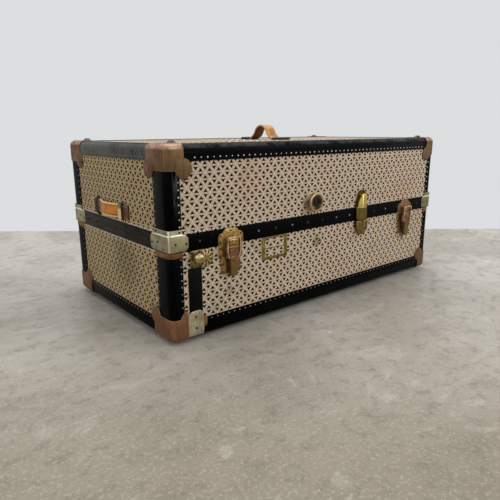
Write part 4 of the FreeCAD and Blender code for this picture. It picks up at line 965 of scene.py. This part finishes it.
# Camera, solved from the edges of the box in the photograph; its place is from the front left corner
camera = {"yaw": 39.2707, "pitch": 14.0053, "roll": -0.3133, "lens": 34.588, "sensor": 36.0, "reach": 60,
          "from": (-506.6, -898.6, 478.4)}
eyePlace = (Vector(camera["from"]) - Vector((length / 2, depth / 2, 0)) + shift) / 1000


def makeCamera():
    yaw, pitch, roll = (math.radians(camera[k]) for k in ("yaw", "pitch", "roll"))
    forward = Vector((math.sin(yaw) * math.cos(pitch), math.cos(yaw) * math.cos(pitch), -math.sin(pitch)))
    right = Vector((math.cos(yaw), -math.sin(yaw), 0))
    up = right.cross(forward)
    across = right * math.cos(roll) + up * math.sin(roll)
    upward = up * math.cos(roll) - right * math.sin(roll)
    eye = bpy.data.objects.new("eye", bpy.data.cameras.new("eye"))
    scene.collection.objects.link(eye)
    turn = Matrix((across, upward, -forward)).transposed().to_4x4()
    eye.matrix_world = Matrix.Translation(eyePlace) @ turn
    eye.data.lens, eye.data.sensor_width, eye.data.clip_end = (camera[k] for k in ("lens", "sensor", "reach"))
    scene.camera = eye


# Lamps: place, size, power and colour; all of them face the middle of the trunk
lamps = {"overhead": ((0.3, 0.9, 3.0), (3.0, 2.4), 62, (1, 0.98, 0.95)),
         "frontRight": ((1.6, -3.0, 1.8), (2.2, 2.2), 52, (1, 0.98, 0.96)),
         "leftSide": ((-3.0, -0.4, 1.5), (1.6, 1.6), 12, (0.97, 0.98, 1))}
lampAim = Vector((0, 0, 0.2))


def makeLamps():
    for name, (spot, size, power, colour) in lamps.items():
        lamp = bpy.data.objects.new(name, bpy.data.lights.new(name, "AREA"))
        lamp.data.shape, lamp.data.size, lamp.data.size_y = "RECTANGLE", *size
        lamp.data.energy, lamp.data.color = power, colour
        lamp.location = spot
        lamp.rotation_mode = "QUATERNION"
        lamp.rotation_quaternion = (lampAim - Vector(spot)).to_track_quat("-Z", "Y")
        scene.collection.objects.link(lamp)


# The floor in metres from the camera's foot, with the shares and colours of its marks
stage = {"wall": 2.36, "near": 3.5, "side": 7.0, "wallColour": tone(219, 221, 222), "sky": (0.5, 0.51, 0.53),
         "nearFloor": tone(147, 138, 120), "farFloor": tone(194, 189, 180), "cloud": tone(122, 114, 98),
         "patch": tone(118, 110, 95), "pale": tone(196, 191, 180), "spots": tone(110, 103, 90),
         "grain": tone(205, 200, 190), "flecks": tone(226, 223, 214)}


def makeFloor():
    # A floor that ends where the pale background begins
    g = Graph("stageFloor")
    coords = g.coordinates()
    yaw = math.radians(camera["yaw"])
    ahead, across = Vector((math.sin(yaw), math.cos(yaw), 0)), Vector((math.cos(yaw), -math.sin(yaw), 0))
    x, y, _ = g.axes(coords)
    cloud = g.noise(coords, 1.7, 6.0, 0.6, 0.8)
    patch = g.noise(g.stretched(coords, (1, 1.6, 1), (4, 2, 0)), 6.5, 6.0, 0.66, 1.2)
    spots = g.noise(coords, 30, 6.0, 0.75)
    grain = g.noise(coords, 150, 4.0, 0.8)
    chips = g.add("ShaderNodeTexVoronoi", {}, coords, Scale=5.5)
    flecks = (chips + (grain - 0.5) * 0.05).ramp(0.05, 0.035) * (cloud < 0.5)
    # Painted light falloff: the floor is darker towards the camera and lighter from the trunk back
    colour = g.mix((x * ahead.x + y * ahead.y).ramp(-1.05, -0.2), stage["nearFloor"], stage["farFloor"])
    for strength, over in ((cloud.ramp(0.4, 0.62) * 0.42, "cloud"), (patch.ramp(0.5, 0.68) * 0.38, "patch"),
                           (patch.ramp(0.44, 0.34) * 0.4, "pale"), (spots.ramp(0.5, 0.64) * 0.42, "spots"),
                           (grain.ramp(0.53, 0.61) * 0.34, "grain"), (flecks * 0.6, "flecks")):
        colour = g.mix(strength, colour, stage[over])
    foot = Vector((eyePlace.x, eyePlace.y, 0))
    corners = [foot + ahead * a + across * b for a, b in
               ((-stage["near"], -stage["side"]), (-stage["near"], stage["side"]),
                (stage["wall"], stage["side"]), (stage["wall"], -stage["side"]))]
    floor = bpy.data.objects.new("stageFloor", bpy.data.meshes.new("stageFloor"))
    floor.data.from_pydata(corners, [], [(0, 1, 2, 3)])
    floor.data.materials.append(g.finish(Base_Color=colour, Roughness=0.34 + patch * 0.2,
                                         Specular_IOR_Level=0.35, Normal=g.bump(spots, 0.08, 0.002)))
    scene.collection.objects.link(floor)
    floor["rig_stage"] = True


def makeWorld():
    # A pale wall for the camera and for reflections, a softer sky for the light
    scene.world = bpy.data.worlds.new("world")
    g = Graph("world", scene.world)
    sight, gloss, glass = (g.add("ShaderNodeLightPath", {}, out="Is %s Ray" % kind)
                           for kind in ("Camera", "Glossy", "Transmission"))
    seen = sight.math("MAXIMUM", gloss).math("MAXIMUM", glass)
    g.finish(Color=g.mix(seen, stage["sky"], stage["wallColour"]))


makeCamera()
makeFloor()
makeWorld()
makeLamps()
print("camera and stage set")
scene.view_settings.view_transform = "Standard"
low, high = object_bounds()
